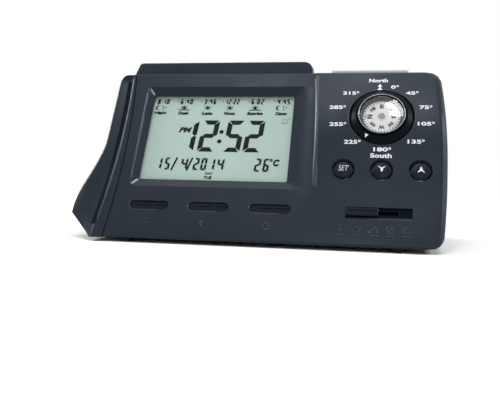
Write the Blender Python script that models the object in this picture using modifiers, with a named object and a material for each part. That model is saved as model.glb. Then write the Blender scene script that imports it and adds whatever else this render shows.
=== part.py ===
"""Prayer-time desk clock with a sunk display, a side panel with a compass, and a fluted left cheek.

Metres, +Z up. The origin lies under the middle of the clock, at the height its feet stand on.
The front leans back, so what sits on it is placed in the face's own frame: x to the right,
y up the lean and z out of the face, measured from the middle of the display.
"""

import math

import bmesh
import bpy

# Case form
LEAN = math.radians(30)
FACE_BELOW_FRAME = 0.0325
FACE_ABOVE_FRAME = 0.0093
TOP_DEPTH = 0.0236
LEFT_BORDER = 0.00455
CREASE_BORDER = 0.00865
FOOT_DROP = 0.0022
WALL = 0.0022
CLEARANCE = 0.0003
RIGHT_BOW = 0.003
LEFT_BOW = 0.0032
FRONT_TOP_ROUND = 0.0008
SIDE_ROUND = 0.006
BACK_ROUND = 0.008
FRONT_LOW_ROUND = 0.0025
BACK_LOW_ROUND = 0.004
FRONT_CORNER_ROUND = 0.0045
REAR_CORNER_ROUND = 0.010
FRONT_CORNER_LIMIT_SHARE = 0.3
REAR_CORNER_LIMIT_SHARE = 0.65
SEAM_SETBACK = 0.022
SEAM_MARGIN = 0.0015
OVERRUN = 0.004

# Bulged panel on the right of the display
PANEL_BULGE = 0.0034
PANEL_CROWN_DROP = 0.0308
PANEL_HALF_HEIGHT = 0.048
CREASE_WIDTH = 0.0024
CREASE_LEAN_SHARE = 0.04

# Fluted cheek on the left
CHEEK_TOP_DROP = 0.0002
CHEEK_ROUND = 0.005
WING_REACH = 0.0154
WING_FLARE = 0.0114
FLARE_FOOT = 0.016
FLARE_HEIGHT = 0.047
WING_FOOT_CUT = 0.0135
RIDGE_STRIP_TOP = 0.0020
RIDGE_STRIP_FOOT = 0.0068
RIDGE_SETBACK = 0.0002
CHANNEL_DEPTH = 0.0052
CHEEK_REAR = 0.0070
CHEEK_GROOVE = 0.0010
CHEEK_FULL_WIDTH = 0.010

# Display
WINDOW_WIDTH = 0.0846
WINDOW_HEIGHT = 0.0564
WINDOW_CORNER = 0.0012
FRAME_SLOPE_ACROSS = 0.00555
FRAME_SLOPE_UP = 0.0053
FRAME_CORNER = 0.0024
FRAME_SHIFT_RIGHT = 0.0016
FRAME_SHIFT_DOWN = 0.0003
FRAME_DEPTH = 0.0026
FRAME_LIP = 0.0004
FRAME_BACKING = 0.0022
LENS_THICKNESS = 0.0010
LENS_MARGIN = 0.0018
LCD_THICKNESS = 0.0018
LCD_MARGIN = 0.0026
BACKLIGHT_THICKNESS = 0.0025

# Circuit boards
BOARD_THICKNESS = 0.0016
MAIN_BOARD_LEFT_INSET = 0.0079
MAIN_BOARD_RIGHT_INSET = 0.0065
MAIN_BOARD_TOP_INSET = 0.0058
BOARD_FOOT_INSET = 0.016
MAIN_POST_INSET = 0.00685
MAIN_POST_OUTSET = 0.001
KEY_BOARD_LEFT_INSET = 0.0055
KEY_BOARD_RIGHT_INSET = 0.0107
KEY_BOARD_OUTSET = 0.0075
KEY_POST_INSET = 0.0038
POST_RADIUS = 0.0027
POST_PILOT_RADIUS = 0.0014
SWITCH_SIZE = 0.006
PLUNGER_RADIUS = 0.0016
PLUNGER_HEIGHT = 0.0006
BOARD_SCREW_HEAD_RADIUS = 0.0024
BOARD_SCREW_HEAD_HEIGHT = 0.0015
BOARD_SCREW_RADIUS = 0.0011
BOARD_SCREW_LENGTH = 0.0060

# Long keys under the display
LONG_KEY_LENGTH = 0.0216
LONG_KEY_WIDTH = 0.0046
LONG_KEY_OVERHANG = 0.0022
LONG_KEY_MIDDLE = 0.0011
LONG_KEY_DROP = 0.0121
LONG_KEY_SINK = 0.0007
LONG_KEY_RIB_LENGTH = 0.0072
LONG_KEY_RIB_WIDTH = 0.0010
LONG_KEY_RIB_HEIGHT = 0.0005
LONG_KEY_RIB_SPREAD = 0.0094
LONG_KEY_RIB_SHIFT = 0.0022
LONG_KEY_RIB_UP = 0.0011
KEY_GAP = 0.0004
KEY_FLANGE = 0.0013
KEY_FLANGE_THICKNESS = 0.0010
KEY_STEM_RADIUS = 0.0014
KEY_STEM_LENGTH = 0.0012
KEY_TRAVEL = 0.0008

# Round buttons
BUTTON_RADIUS = 0.0050
BUTTON_PITCH = 0.0202
BUTTON_INSET = 0.0160
BUTTON_MARGIN = 0.0143
BUTTON_DROP = 0.0324
BUTTON_EDGE_RISE = 0.0007
BUTTON_DOME = 0.0010
BUTTON_DISH = 0.0004
BUTTON_DISH_DEPTH = 0.0007

# Slide switch
GROOVE_LENGTH = 0.0343
GROOVE_WIDTH = 0.0052
GROOVE_SHIFT = -0.0003
GROOVE_DEPTH = 0.0012
GROOVE_CHAMFER = 0.0016
KNOB_LENGTH = 0.0166
KNOB_RISE = 0.0005
KNOB_STEM_LENGTH = 0.0030
KNOB_STEM_WIDTH = 0.0016
KNOB_STEM_DROP = 0.0052
KNOB_EDGE = 0.0003
KNOB_RIB_SPREAD = 0.0079
SLIDER_WIDTH = 0.0070
SLIDER_LENGTH = 0.0270

# Compass
COMPASS_SHIFT = -0.0006
COMPASS_DROP = 0.0319
RING_BREADTH = 0.00405
RING_EDGE_RISE = 0.0032
RING_CROWN_RISE = 0.0054
RING_ROUND = 0.0006
SEAT_RISE = 0.0004
SEAT_BACKING = 0.0020
SEAT_MARGIN = 0.0016
CUP_RADIUS = 0.0129
CUP_RIM_RISE = 0.0063
CUP_WALL = 0.0009
CUP_LEDGE = 0.0005
CUP_FLOOR = 0.0012
CUP_DEPTH = 0.0060
CUP_FLANGE = 0.0019
LENS_RISE = 0.0042
DIAL_LENS_THICKNESS = 0.0012
DIAL_LENS_DOME = 0.0006
CARD_GAP = 0.0002
CARD_THICKNESS = 0.0005
CARD_RISE = 0.0018
HUB_RADIUS = 0.0025
HUB_HEIGHT = 0.0007
HUB_SOCKET_RADIUS = 0.0010
HUB_SOCKET_DEPTH = 0.0008
PIVOT_RADIUS = 0.0005
PIVOT_BASE_RADIUS = 0.0020
PIVOT_BASE_HEIGHT = 0.0008

# Keys on the top
BAR_OVERHANG = 0.0054
BAR_STOP = 0.0051
BAR_RISE = 0.0075
BAR_SINK = 0.0012
BAR_SETBACK = 0.0015
BAR_SLANT = 0.0020
BAR_BACK_MARGIN = 0.0065
BAR_EDGE_ROUND = 0.0012
BAR_END_ROUND = 0.0050
BAR_TRAVEL = 0.0007
BAR_GUIDE_LENGTH = 0.026
BAR_GUIDE_WIDTH = 0.007
TOP_KEY_LENGTH = 0.044
TOP_KEY_REAR_GAP = 0.0006
TOP_KEY_SHIFT = -0.0073
TOP_KEY_SETBACK = 0.004
TOP_KEY_RISE = 0.0022
TOP_KEY_EDGE = 0.0007
TOP_KEY_TRAVEL = 0.0010
TOP_BOARD_LEFT_INSET = 0.0124
TOP_POST_GAP = 0.0010
TOP_BOARD_DEPTH_MARGIN = 0.0116
TOP_BOARD_SWITCH = 0.0018
TOP_POST_INSET = 0.005

# Rear of the case
CELL_RADIUS = 0.0071
CELL_LENGTH = 0.0493
CELL_NUB_RADIUS = 0.0027
CELL_NUB_LENGTH = 0.0012
CELL_GAP = 0.0005
CELL_COUNT = 3
CELL_EDGE = 0.0005
TRAY_SHIFT = 0.0086
TRAY_HEIGHT = 0.044
TRAY_WALL = 0.003
CONTACT_THICKNESS = 0.0006
CONTACT_WIDTH = 0.010
CONTACT_ROOM = 0.0012
COVER_LEDGE = 0.0018
COVER_THICKNESS = 0.0018
COVER_EDGE = 0.0003
GRIP_RADIUS = 0.006
GRIP_DEPTH = 0.0008
GRIP_DROP = 0.010
SPEAKER_INSET = 0.0324
SPEAKER_HEIGHT = 0.048
SPEAKER_RADIUS = 0.020
SPEAKER_FLANGE = 0.0012
SPEAKER_DEPTH = 0.0090
SPEAKER_WALL = 0.0009
MAGNET_RADIUS = 0.0105
MAGNET_DEPTH = 0.0055
CONE_THICKNESS = 0.0006
CONE_RIM = 0.0022
CONE_DEPTH = 0.0055
CONE_CAP_RADIUS = 0.0055
CONE_CAP_RISE = 0.0016
GRILLE_RADIUS = 0.0178
GRILLE_SLOT = 0.0018
GRILLE_PITCH = 0.0040
SCREW_LEFT_GAP = 0.0005
SCREW_RIGHT_INSET = 0.0066
SCREW_FOOT_INSET = 0.0103
SCREW_TOP_INSET = 0.0284
SCREW_BOSS_RADIUS = 0.0036
SCREW_HEAD_RADIUS = 0.0027
SCREW_HEAD_HEIGHT = 0.0020
SCREW_RADIUS = 0.0014
SCREW_LENGTH = 0.015
SCREW_SEAT = 0.005
SCREW_TIP = 0.0014
FOOT_RADIUS = 0.0042
FOOT_SINK = 0.0010
FOOT_EDGE = 0.0006
FOOT_LEFT_INSET = 0.0089
FOOT_RIGHT_INSET = 0.0257
FOOT_SETBACK = 0.0072
FOOT_REAR_SETBACK = 0.0105

# Counts
ROUND_STEPS = 32
BUTTON_STEPS = 24
SMALL_ROUND_STEPS = 16
DOME_STEPS = 4
CORNER_STEPS = 4
CREASE_STEPS = 4
PANEL_STATIONS = 14
CHEEK_STATIONS = 18
EDGE_STATIONS = 4
MERGE = 0.00001
SMOOTH_ANGLE = math.radians(32)
NO_TURN = (0.0, 0.0, 0.0)
FACING_BACK = (math.radians(-90), 0.0, 0.0)

# Places that follow from the sizes above
FRAME_WIDTH = WINDOW_WIDTH + 2 * FRAME_SLOPE_ACROSS
FRAME_HEIGHT = WINDOW_HEIGHT + 2 * FRAME_SLOPE_UP
FACE_LOW = FRAME_HEIGHT / 2 + FACE_BELOW_FRAME
FACE_HIGH = FRAME_HEIGHT / 2 + FACE_ABOVE_FRAME
LEFT_EDGE = FRAME_WIDTH / 2 + LEFT_BORDER
CREASE_PLACE = FRAME_WIDTH / 2 + CREASE_BORDER
BUTTON_MIDDLE = CREASE_PLACE + BUTTON_INSET + BUTTON_PITCH
RIGHT_EDGE = BUTTON_MIDDLE + BUTTON_PITCH + BUTTON_MARGIN
CASE_DEPTH = TOP_DEPTH + (FACE_LOW + FACE_HIGH) * math.sin(LEAN)
BASE_Z = FOOT_DROP
DISPLAY_Z = BASE_Z + FACE_LOW * math.cos(LEAN)
TOP_Z = DISPLAY_Z + FACE_HIGH * math.cos(LEAN)
FRONT_Y = -CASE_DEPTH / 2
BACK_Y = CASE_DEPTH / 2
DISPLAY_Y = FRONT_Y + FACE_LOW * math.sin(LEAN)
PANEL_CROWN_HEIGHT = FACE_HIGH - PANEL_CROWN_DROP
CHEEK_TOP = FACE_HIGH - CHEEK_TOP_DROP
WING_NARROW = LEFT_EDGE + WING_REACH
WING_EDGE = WING_NARROW + WING_FLARE
FLARE_END = FLARE_FOOT - FACE_LOW
FLARE_START = FLARE_END + FLARE_HEIGHT
MIDDLE_X = (RIGHT_EDGE - WING_EDGE) / 2
SEAM_Y = FRONT_Y + SEAM_SETBACK
SEAM_TOP_Z = TOP_Z - BACK_ROUND - SEAM_MARGIN
SEAM_LEAN = math.atan2(BACK_Y - SEAM_Y, SEAM_TOP_Z - BASE_Z)
CASE_SPAN = RIGHT_EDGE + WING_EDGE + CASE_DEPTH
LENS_FRONT = -FRAME_DEPTH - FRAME_LIP - CLEARANCE
LCD_FRONT = LENS_FRONT - LENS_THICKNESS - CLEARANCE
BACKLIGHT_FRONT = LCD_FRONT - LCD_THICKNESS - CLEARANCE
BOARD_FRONT = BACKLIGHT_FRONT - BACKLIGHT_THICKNESS - CLEARANCE
BOARD_BACK = BOARD_FRONT - BOARD_THICKNESS
RING_BORE_RADIUS = CUP_RADIUS + KEY_GAP
RING_RADIUS = RING_BORE_RADIUS + RING_BREADTH
CARD_RADIUS = CUP_RADIUS - CUP_WALL - CUP_LEDGE - CARD_GAP
COMPASS_ACROSS = BUTTON_MIDDLE + COMPASS_SHIFT
COMPASS_UP = FACE_HIGH - COMPASS_DROP
BUTTON_UP = COMPASS_UP - BUTTON_DROP
LONG_KEY_PITCH = (WINDOW_WIDTH - LONG_KEY_LENGTH) / 2 + LONG_KEY_OVERHANG
LONG_KEY_UP = -FRAME_HEIGHT / 2 - LONG_KEY_DROP
GROOVE_MIDDLE = COMPASS_ACROSS + GROOVE_SHIFT
GROOVE_UP = LONG_KEY_UP
MAIN_BOARD_LEFT = MAIN_BOARD_LEFT_INSET - LEFT_EDGE
MAIN_BOARD_RIGHT = CREASE_PLACE - MAIN_BOARD_RIGHT_INSET
MAIN_BOARD_HIGH = FACE_HIGH - MAIN_BOARD_TOP_INSET
BOARD_LOW = BOARD_FOOT_INSET - FACE_LOW
MAIN_POST_ACROSS = FRAME_WIDTH / 2 - MAIN_POST_INSET
MAIN_POST_UP = FRAME_HEIGHT / 2 + MAIN_POST_OUTSET
KEY_BOARD_LEFT = CREASE_PLACE + KEY_BOARD_LEFT_INSET
KEY_BOARD_RIGHT = RIGHT_EDGE - KEY_BOARD_RIGHT_INSET
KEY_BOARD_HIGH = BUTTON_UP + KEY_BOARD_OUTSET
KEY_POST_UP = GROOVE_UP
BAR_LEFT = -LEFT_EDGE - BAR_OVERHANG
BAR_RIGHT = CREASE_PLACE - BAR_STOP
TOP_BOARD_LEFT = TOP_BOARD_LEFT_INSET - LEFT_EDGE
TOP_KEY_MIDDLE = COMPASS_ACROSS + TOP_KEY_SHIFT
TOP_BOARD_RIGHT = TOP_KEY_MIDDLE + TOP_KEY_LENGTH / 2
TOP_BOARD_WIDTH = TOP_DEPTH - TOP_BOARD_DEPTH_MARGIN
TOP_KEY_WIDTH = TOP_DEPTH - TOP_KEY_SETBACK - BACK_ROUND - TOP_KEY_REAR_GAP

model = bpy.data.collections.new("desk_clock")
tools = bpy.data.collections.new("cutters")


def clear_scene():
    for item in list(bpy.data.objects):
        bpy.data.objects.remove(item, do_unlink=True)
    bpy.context.scene.collection.children.link(model)
    bpy.context.scene.collection.children.link(tools)


def finish_of(name, colour, roughness, metallic=0.0, see_through=0.0):
    """A plain Principled material with the part's own colour."""
    material = bpy.data.materials.new(name)
    material.use_nodes = True
    shader = material.node_tree.nodes["Principled BSDF"]
    shader.inputs["Base Color"].default_value = (*colour, 1.0)
    shader.inputs["Roughness"].default_value = roughness
    shader.inputs["Metallic"].default_value = metallic
    shader.inputs["Transmission Weight"].default_value = see_through
    return material


def put(name, mesh, place, finish=None, frame=None, turn=NO_TURN):
    """An object of the clock where it has a finish, and otherwise a hidden cutter."""
    piece = bpy.data.objects.new(name, mesh)
    piece.parent = frame
    piece.location = place
    piece.rotation_euler = turn
    if finish is None:
        tools.objects.link(piece)
        piece.hide_render = True
        piece.display_type = "WIRE"
    else:
        model.objects.link(piece)
        mesh.materials.append(finish)
    return piece


def mesh_of(name, solid):
    """The mesh of a finished bmesh, smooth except at its corners."""
    bmesh.ops.recalc_face_normals(solid, faces=solid.faces)
    mesh = bpy.data.meshes.new(name)
    solid.to_mesh(mesh)
    solid.free()
    mesh.shade_smooth()
    mesh.set_sharp_from_angle(angle=SMOOTH_ANGLE)
    return mesh


def box(name, size, place, finish=None, frame=None, turn=NO_TURN):
    solid = bmesh.new()
    bmesh.ops.create_cube(solid, size=1)
    bmesh.ops.scale(solid, vec=size, verts=solid.verts)
    return put(name, mesh_of(name, solid), place, finish, frame, turn)


def cylinder(name, radius, depth, place, finish=None, frame=None, turn=NO_TURN,
             end_radius=None, steps=SMALL_ROUND_STEPS):
    """A round bar about its own z; end_radius is the radius at its +z end."""
    solid = bmesh.new()
    bmesh.ops.create_cone(solid, cap_ends=True, segments=steps, radius1=radius,
                          radius2=radius if end_radius is None else end_radius, depth=depth)
    return put(name, mesh_of(name, solid), place, finish, frame, turn)


def turned(name, profile, place, finish=None, frame=None, turn=NO_TURN,
           steps=ROUND_STEPS, closed=False):
    """A profile of (radius, height) points, outer side from top to bottom, turned about z."""
    mesh = bpy.data.meshes.new(name)
    count = len(profile)
    edges = [(i, i + 1) for i in range(count - 1)]
    if closed:
        edges.append((count - 1, 0))
    mesh.from_pydata([(radius, 0.0, height) for radius, height in profile], edges, [])
    piece = put(name, mesh, place, finish, frame, turn)
    screw = piece.modifiers.new("turn", "SCREW")
    screw.steps = steps
    screw.render_steps = steps
    screw.use_merge_vertices = True
    screw.merge_threshold = MERGE
    screw.use_smooth_shade = True
    return piece


def plate(name, outline, thickness, place, finish=None, frame=None, turn=NO_TURN):
    """A flat outline of (x, y) points with a thickness, its middle plane at z = 0."""
    curve = bpy.data.curves.new(name, "CURVE")
    curve.dimensions = "2D"
    curve.fill_mode = "BOTH"
    curve.extrude = thickness / 2
    spline = curve.splines.new("POLY")
    spline.points.add(len(outline) - 1)
    for point, (across, up) in zip(spline.points, outline):
        point.co = (across, up, 0.0, 1.0)
    spline.use_cyclic_u = True
    drawing = bpy.data.objects.new(name, curve)
    tools.objects.link(drawing)
    bpy.context.view_layer.update()
    depsgraph = bpy.context.evaluated_depsgraph_get()
    filled = bpy.data.meshes.new_from_object(drawing.evaluated_get(depsgraph))
    solid = bmesh.new()
    solid.from_mesh(filled)
    bmesh.ops.remove_doubles(solid, verts=solid.verts, dist=MERGE)
    bpy.data.objects.remove(drawing)
    return put(name, mesh_of(name, solid), place, finish, frame, turn)


def loft(name, rings, finish=None, frame=None):
    """A closed solid through rings of equally many points, capped at both ends."""
    solid = bmesh.new()
    rows = [[solid.verts.new(point) for point in ring] for ring in rings]
    for lower, upper in zip(rows, rows[1:]):
        for i in range(len(lower)):
            j = (i + 1) % len(lower)
            solid.faces.new((lower[i], lower[j], upper[j], upper[i]))
    solid.faces.new(rows[0])
    solid.faces.new(rows[-1])
    bmesh.ops.triangulate(solid, faces=solid.faces)
    return put(name, mesh_of(name, solid), (0.0, 0.0, 0.0), finish, frame)


def change(target, tool, operation="DIFFERENCE"):
    step = target.modifiers.new(tool.name, "BOOLEAN")
    step.operation = operation
    step.object = tool


def soften(piece, width, segments=2):
    """Rounded edges on a piece that starts as a box or a plate."""
    bevel = piece.modifiers.new("edges", "BEVEL")
    bevel.width = width
    bevel.segments = segments
    bevel.limit_method = "ANGLE"


def arc(centre, radius, start, stop, steps):
    """Points on an arc, angles in degrees."""
    angles = [math.radians(start + (stop - start) * i / steps) for i in range(steps + 1)]
    return [(centre[0] + radius * math.cos(a), centre[1] + radius * math.sin(a)) for a in angles]


def stadium(length, width):
    """A flat outline with half-round ends."""
    reach = (length - width) / 2
    steps = CORNER_STEPS + 2
    return (arc((reach, 0.0), width / 2, -90, 90, steps)
            + arc((-reach, 0.0), width / 2, 90, 270, steps))


def rounded_rectangle(width, height, corner, shift=(0.0, 0.0)):
    across = width / 2 - corner
    up = height / 2 - corner
    points = []
    for side, level, start in ((1, -1, -90), (1, 1, 0), (-1, 1, 90), (-1, -1, 180)):
        centre = (shift[0] + side * across, shift[1] + level * up)
        points += arc(centre, corner, start, start + 90, CORNER_STEPS)
    return points


def rounding(height, radius):
    """How far a rounded edge draws a wall in, at a height measured from that edge."""
    if height >= radius:
        return 0.0
    rise = radius - height
    return radius - math.sqrt(radius ** 2 - rise ** 2)


def face_y(z):
    """Where the flat face lies at a height, before any bulge."""
    return FRONT_Y + (z - BASE_Z) * math.tan(LEAN)


def up_face(z):
    """The distance up the face from the middle of the display, at a height."""
    return (z - DISPLAY_Z) / math.cos(LEAN)


def bow(z):
    """0 half way up the case and 1 at its top and foot."""
    return (2 * (z - BASE_Z) / (TOP_Z - BASE_Z) - 1) ** 2


def left_x(z):
    return -LEFT_EDGE - LEFT_BOW * bow(z) - MIDDLE_X


def panel_bulge(z):
    """How far the right-hand panel stands out of the face at a height."""
    off = (up_face(z) - PANEL_CROWN_HEIGHT) / PANEL_HALF_HEIGHT
    if abs(off) >= 1:
        return 0.0
    return PANEL_BULGE * math.cos(off * math.pi / 2) ** 2


def seam_y(z):
    """The parting plane between the two case halves."""
    return SEAM_Y + (z - BASE_Z) * math.tan(SEAM_LEAN)


def heights(low, high, foot, crown, middle_count):
    """Section heights: close together at the rounded foot and crown, even between them."""
    quarter = [math.sin(math.radians(90) * i / EDGE_STATIONS) for i in range(EDGE_STATIONS)]
    lower = [low + foot * (1 - math.cos(math.asin(share))) for share in quarter]
    upper = [high - crown * (1 - math.cos(math.asin(share))) for share in quarter]
    start = low + foot
    stop = high - crown
    middle = [start + (stop - start) * i / middle_count for i in range(middle_count + 1)]
    return lower + middle + upper[::-1]


def case_ring(z, inset):
    """One level section of the case form, its walls moved in by the inset."""
    down = z - BASE_Z - inset
    under = TOP_Z - inset - z
    side = rounding(under, SIDE_ROUND - inset) + rounding(down, SIDE_ROUND - inset)
    front = rounding(under, FRONT_TOP_ROUND - inset) + rounding(down, FRONT_LOW_ROUND - inset)
    back = rounding(under, BACK_ROUND - inset) + rounding(down, BACK_LOW_ROUND - inset)
    left = left_x(z) + inset
    right = RIGHT_EDGE - MIDDLE_X - RIGHT_BOW * bow(z) - side - inset
    front_line = face_y(z) + front + inset / math.cos(LEAN)
    panel_line = front_line - panel_bulge(z) / math.cos(LEAN)
    rear = BACK_Y - back - inset
    front_round = min(FRONT_CORNER_ROUND - inset, FRONT_CORNER_LIMIT_SHARE * (rear - panel_line))
    rear_round = min(REAR_CORNER_ROUND - inset, REAR_CORNER_LIMIT_SHARE * (rear - panel_line))
    crease = CREASE_PLACE - MIDDLE_X - CREASE_LEAN_SHARE * up_face(z) + inset - CREASE_WIDTH / 2
    turns = [math.radians(90) * i / CREASE_STEPS for i in range(CREASE_STEPS + 1)]
    shoulder = [(crease + CREASE_WIDTH * (1 - math.cos(turn)),
                 front_line + (panel_line - front_line) * math.sin(turn)) for turn in turns]
    outline = [(left, front_line)] + shoulder
    outline += arc((right - front_round, panel_line + front_round), front_round, -90, 0, CORNER_STEPS)
    outline += arc((right - rear_round, rear - rear_round), rear_round, 0, 90, CORNER_STEPS)
    outline.append((left, rear))
    return [(x, y, z) for x, y in outline]


def case_form(name, inset, finish=None):
    levels = heights(BASE_Z + inset, TOP_Z - inset, SIDE_ROUND - inset, BACK_ROUND - inset,
                     PANEL_STATIONS)
    return loft(name, [case_ring(z, inset) for z in levels], finish)


def half_space(name, behind):
    """A block with one face on the parting plane, behind it or in front of it."""
    side = 1 if behind else -1
    offset = side * (CASE_SPAN - CLEARANCE) / 2
    place = (0.0, SEAM_Y + offset * math.cos(SEAM_LEAN), BASE_Z - offset * math.sin(SEAM_LEAN))
    size = (2 * CASE_SPAN, CASE_SPAN, 2 * CASE_SPAN)
    return box(name, size, place, turn=(-SEAM_LEAN, 0.0, 0.0))


def on_face(name, low, high, across, up, width, height, frame, finish=None):
    """A block on the face between two depths, low and high along the face's normal."""
    return box(name, (width, height, high - low), (across, up, (low + high) / 2), finish, frame)


def round_on_face(name, low, high, across, up, radius, frame, finish=None, end_radius=None,
                  steps=SMALL_ROUND_STEPS):
    return cylinder(name, radius, high - low, (across, up, (low + high) / 2), finish, frame,
                    end_radius=end_radius, steps=steps)


def long_key_places():
    for name, step in (("left_key", -1), ("middle_key", 0), ("right_key", 1)):
        yield name, LONG_KEY_MIDDLE + step * LONG_KEY_PITCH


def button_places():
    for name, step in (("set_button", -1), ("down_button", 0), ("up_button", 1)):
        yield name, BUTTON_MIDDLE + step * BUTTON_PITCH


def main_posts():
    return [(side * MAIN_POST_ACROSS, level * MAIN_POST_UP) for side in (-1, 1) for level in (-1, 1)]


def key_posts():
    return [(KEY_BOARD_LEFT + KEY_POST_INSET, KEY_POST_UP), (KEY_BOARD_RIGHT - KEY_POST_INSET, KEY_POST_UP)]


def case_screws():
    """Name, x, height and the place of the head's seat, for each case screw."""
    beside_panel = WINDOW_WIDTH / 2 + LCD_MARGIN + SCREW_LEFT_GAP + SCREW_BOSS_RADIUS
    sides = (("left", -beside_panel), ("right", RIGHT_EDGE - SCREW_RIGHT_INSET))
    for row, z in (("low", BASE_Z + SCREW_FOOT_INSET), ("high", TOP_Z - SCREW_TOP_INSET)):
        for side, across in sides:
            yield f"case_screw_{row}_{side}", across - MIDDLE_X, z, seam_y(z) + SCREW_SEAT


def feet():
    """Name, x and y of each foot."""
    sides = (("left", FOOT_LEFT_INSET - LEFT_EDGE), ("right", RIGHT_EDGE - FOOT_RIGHT_INSET))
    for row, y in (("front", FRONT_Y + FOOT_SETBACK), ("rear", BACK_Y - FOOT_REAR_SETBACK)):
        for side, across in sides:
            yield f"foot_{row}_{side}", across - MIDDLE_X, y


BAR_MIDDLE_X = (BAR_LEFT + BAR_RIGHT) / 2 - MIDDLE_X
TOP_ROW_Y = BACK_Y - BAR_BACK_MARGIN - TOP_BOARD_WIDTH / 2
BAR_LOW = TOP_Z - BAR_SINK + BAR_TRAVEL + CLEARANCE
TOP_FLANGE_TOP = TOP_Z - WALL - CLEARANCE
TOP_FLANGE_LOW = TOP_FLANGE_TOP - KEY_FLANGE_THICKNESS
TOP_SWITCH_TOP = TOP_FLANGE_LOW - TOP_KEY_TRAVEL - CLEARANCE
TOP_BOARD_TOP = TOP_SWITCH_TOP - TOP_BOARD_SWITCH
TOP_KEY_X = TOP_KEY_MIDDLE - MIDDLE_X
TOP_KEY_Y = face_y(TOP_Z) + TOP_KEY_SETBACK + TOP_KEY_WIDTH / 2
TRAY_WIDTH = CELL_LENGTH + CELL_NUB_LENGTH + 2 * CONTACT_ROOM
CELL_PITCH = 2 * CELL_RADIUS + CELL_GAP
TRAY_DEEP = CELL_PITCH * CELL_COUNT + 2 * CLEARANCE
TRAY_X = (RIGHT_EDGE - LEFT_EDGE) / 2 + TRAY_SHIFT - MIDDLE_X
COVER_FRONT_Y = BACK_Y - COVER_THICKNESS
LEDGE_Y = COVER_FRONT_Y - CLEARANCE
CELL_Y = LEDGE_Y - CELL_RADIUS
TRAY_FLOOR_Y = CELL_Y - CELL_RADIUS - CLEARANCE
SPEAKER_X = SPEAKER_INSET - LEFT_EDGE - MIDDLE_X
GROOVE_FLOOR = -GROOVE_DEPTH
KNOB_BOTTOM = GROOVE_FLOOR + CLEARANCE
KNOB_TRAVEL = GROOVE_LENGTH - KNOB_LENGTH - 2 * CLEARANCE
KNOB_REST_X = GROOVE_MIDDLE - KNOB_TRAVEL / 2
KEY_FLANGE_TOP = -WALL - CLEARANCE
KEY_FLANGE_LOW = KEY_FLANGE_TOP - KEY_FLANGE_THICKNESS
KEY_STEM_END = KEY_FLANGE_LOW - KEY_STEM_LENGTH
KEY_SWITCH_TOP = KEY_STEM_END - KEY_TRAVEL - CLEARANCE


def shape_front_hollow(face):
    """The room inside the front half, less the walls, posts and bosses that stand in it."""
    hollow = case_form("front_room", WALL)
    frame_wall = on_face("display_frame_wall", -FRAME_DEPTH - FRAME_LIP, OVERRUN,
                         FRAME_SHIFT_RIGHT, -FRAME_SHIFT_DOWN, FRAME_WIDTH + 2 * FRAME_BACKING,
                         FRAME_HEIGHT + 2 * FRAME_BACKING, face)
    change(hollow, frame_wall)
    seat_wall = round_on_face("compass_seat_wall", -SEAT_BACKING, OVERRUN, COMPASS_ACROSS, COMPASS_UP,
                              RING_RADIUS + SEAT_MARGIN, face, steps=ROUND_STEPS)
    change(hollow, seat_wall)
    for i, (across, up) in enumerate(main_posts() + key_posts()):
        change(hollow, round_on_face(f"board_post_{i}", BOARD_FRONT + CLEARANCE, OVERRUN,
                                     across, up, POST_RADIUS, face))
    low = TOP_BOARD_TOP + CLEARANCE
    high = TOP_Z + OVERRUN
    key_room = TOP_KEY_LENGTH / 2 + KEY_FLANGE + TOP_POST_GAP
    for name, across in (("left", TOP_BOARD_LEFT + TOP_POST_INSET),
                         ("right", TOP_KEY_MIDDLE - key_room - POST_RADIUS)):
        change(hollow, cylinder(f"top_post_{name}", POST_RADIUS, high - low,
                                (across - MIDDLE_X, TOP_ROW_Y, (low + high) / 2)))
    add_screw_bosses(hollow, "front")
    return hollow


def add_screw_bosses(hollow, half):
    for name, x, z, seat in case_screws():
        change(hollow, cylinder(f"{half}_{name}_boss", SCREW_BOSS_RADIUS, 2 * CASE_DEPTH,
                                (x, 0.0, z), turn=FACING_BACK))


def cut_screw_holes(case, half):
    """A pilot hole across the seam and a wide hole for the head behind it."""
    for name, x, z, seat in case_screws():
        length = SCREW_LENGTH + SCREW_HEAD_HEIGHT
        change(case, cylinder(f"{half}_{name}_pilot", SCREW_RADIUS + CLEARANCE, length,
                              (x, seat + SCREW_HEAD_HEIGHT - length / 2, z), turn=FACING_BACK))
        if half == "rear":
            deep = BACK_Y + OVERRUN - seat
            change(case, cylinder(f"{name}_well", SCREW_HEAD_RADIUS + CLEARANCE, deep,
                                  (x, seat + deep / 2, z), turn=FACING_BACK))


def cut_foot_seats(case, row):
    for name, x, y in feet():
        if row in name:
            height = OVERRUN + FOOT_SINK + CLEARANCE
            change(case, cylinder(f"{name}_seat", FOOT_RADIUS + CLEARANCE, height,
                                  (x, y, BASE_Z + FOOT_SINK + CLEARANCE - height / 2)))


def display_funnel(face):
    """The sunk frame's four sloping sides and the window at its foot."""
    slope_x = (FRAME_WIDTH - WINDOW_WIDTH) / 2 / FRAME_DEPTH
    slope_y = (FRAME_HEIGHT - WINDOW_HEIGHT) / 2 / FRAME_DEPTH
    out = OVERRUN / 2
    reach = (FRAME_DEPTH + out) / FRAME_DEPTH
    outer = rounded_rectangle(FRAME_WIDTH + 2 * slope_x * out, FRAME_HEIGHT + 2 * slope_y * out,
                              FRAME_CORNER + (FRAME_CORNER - WINDOW_CORNER) * (reach - 1),
                              (FRAME_SHIFT_RIGHT * reach, -FRAME_SHIFT_DOWN * reach))
    inner = rounded_rectangle(WINDOW_WIDTH, WINDOW_HEIGHT, WINDOW_CORNER)
    rings = [[(x, y, -FRAME_DEPTH - OVERRUN) for x, y in inner],
             [(x, y, -FRAME_DEPTH) for x, y in inner],
             [(x, y, out) for x, y in outer]]
    return loft("display_funnel", rings, frame=face)


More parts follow.
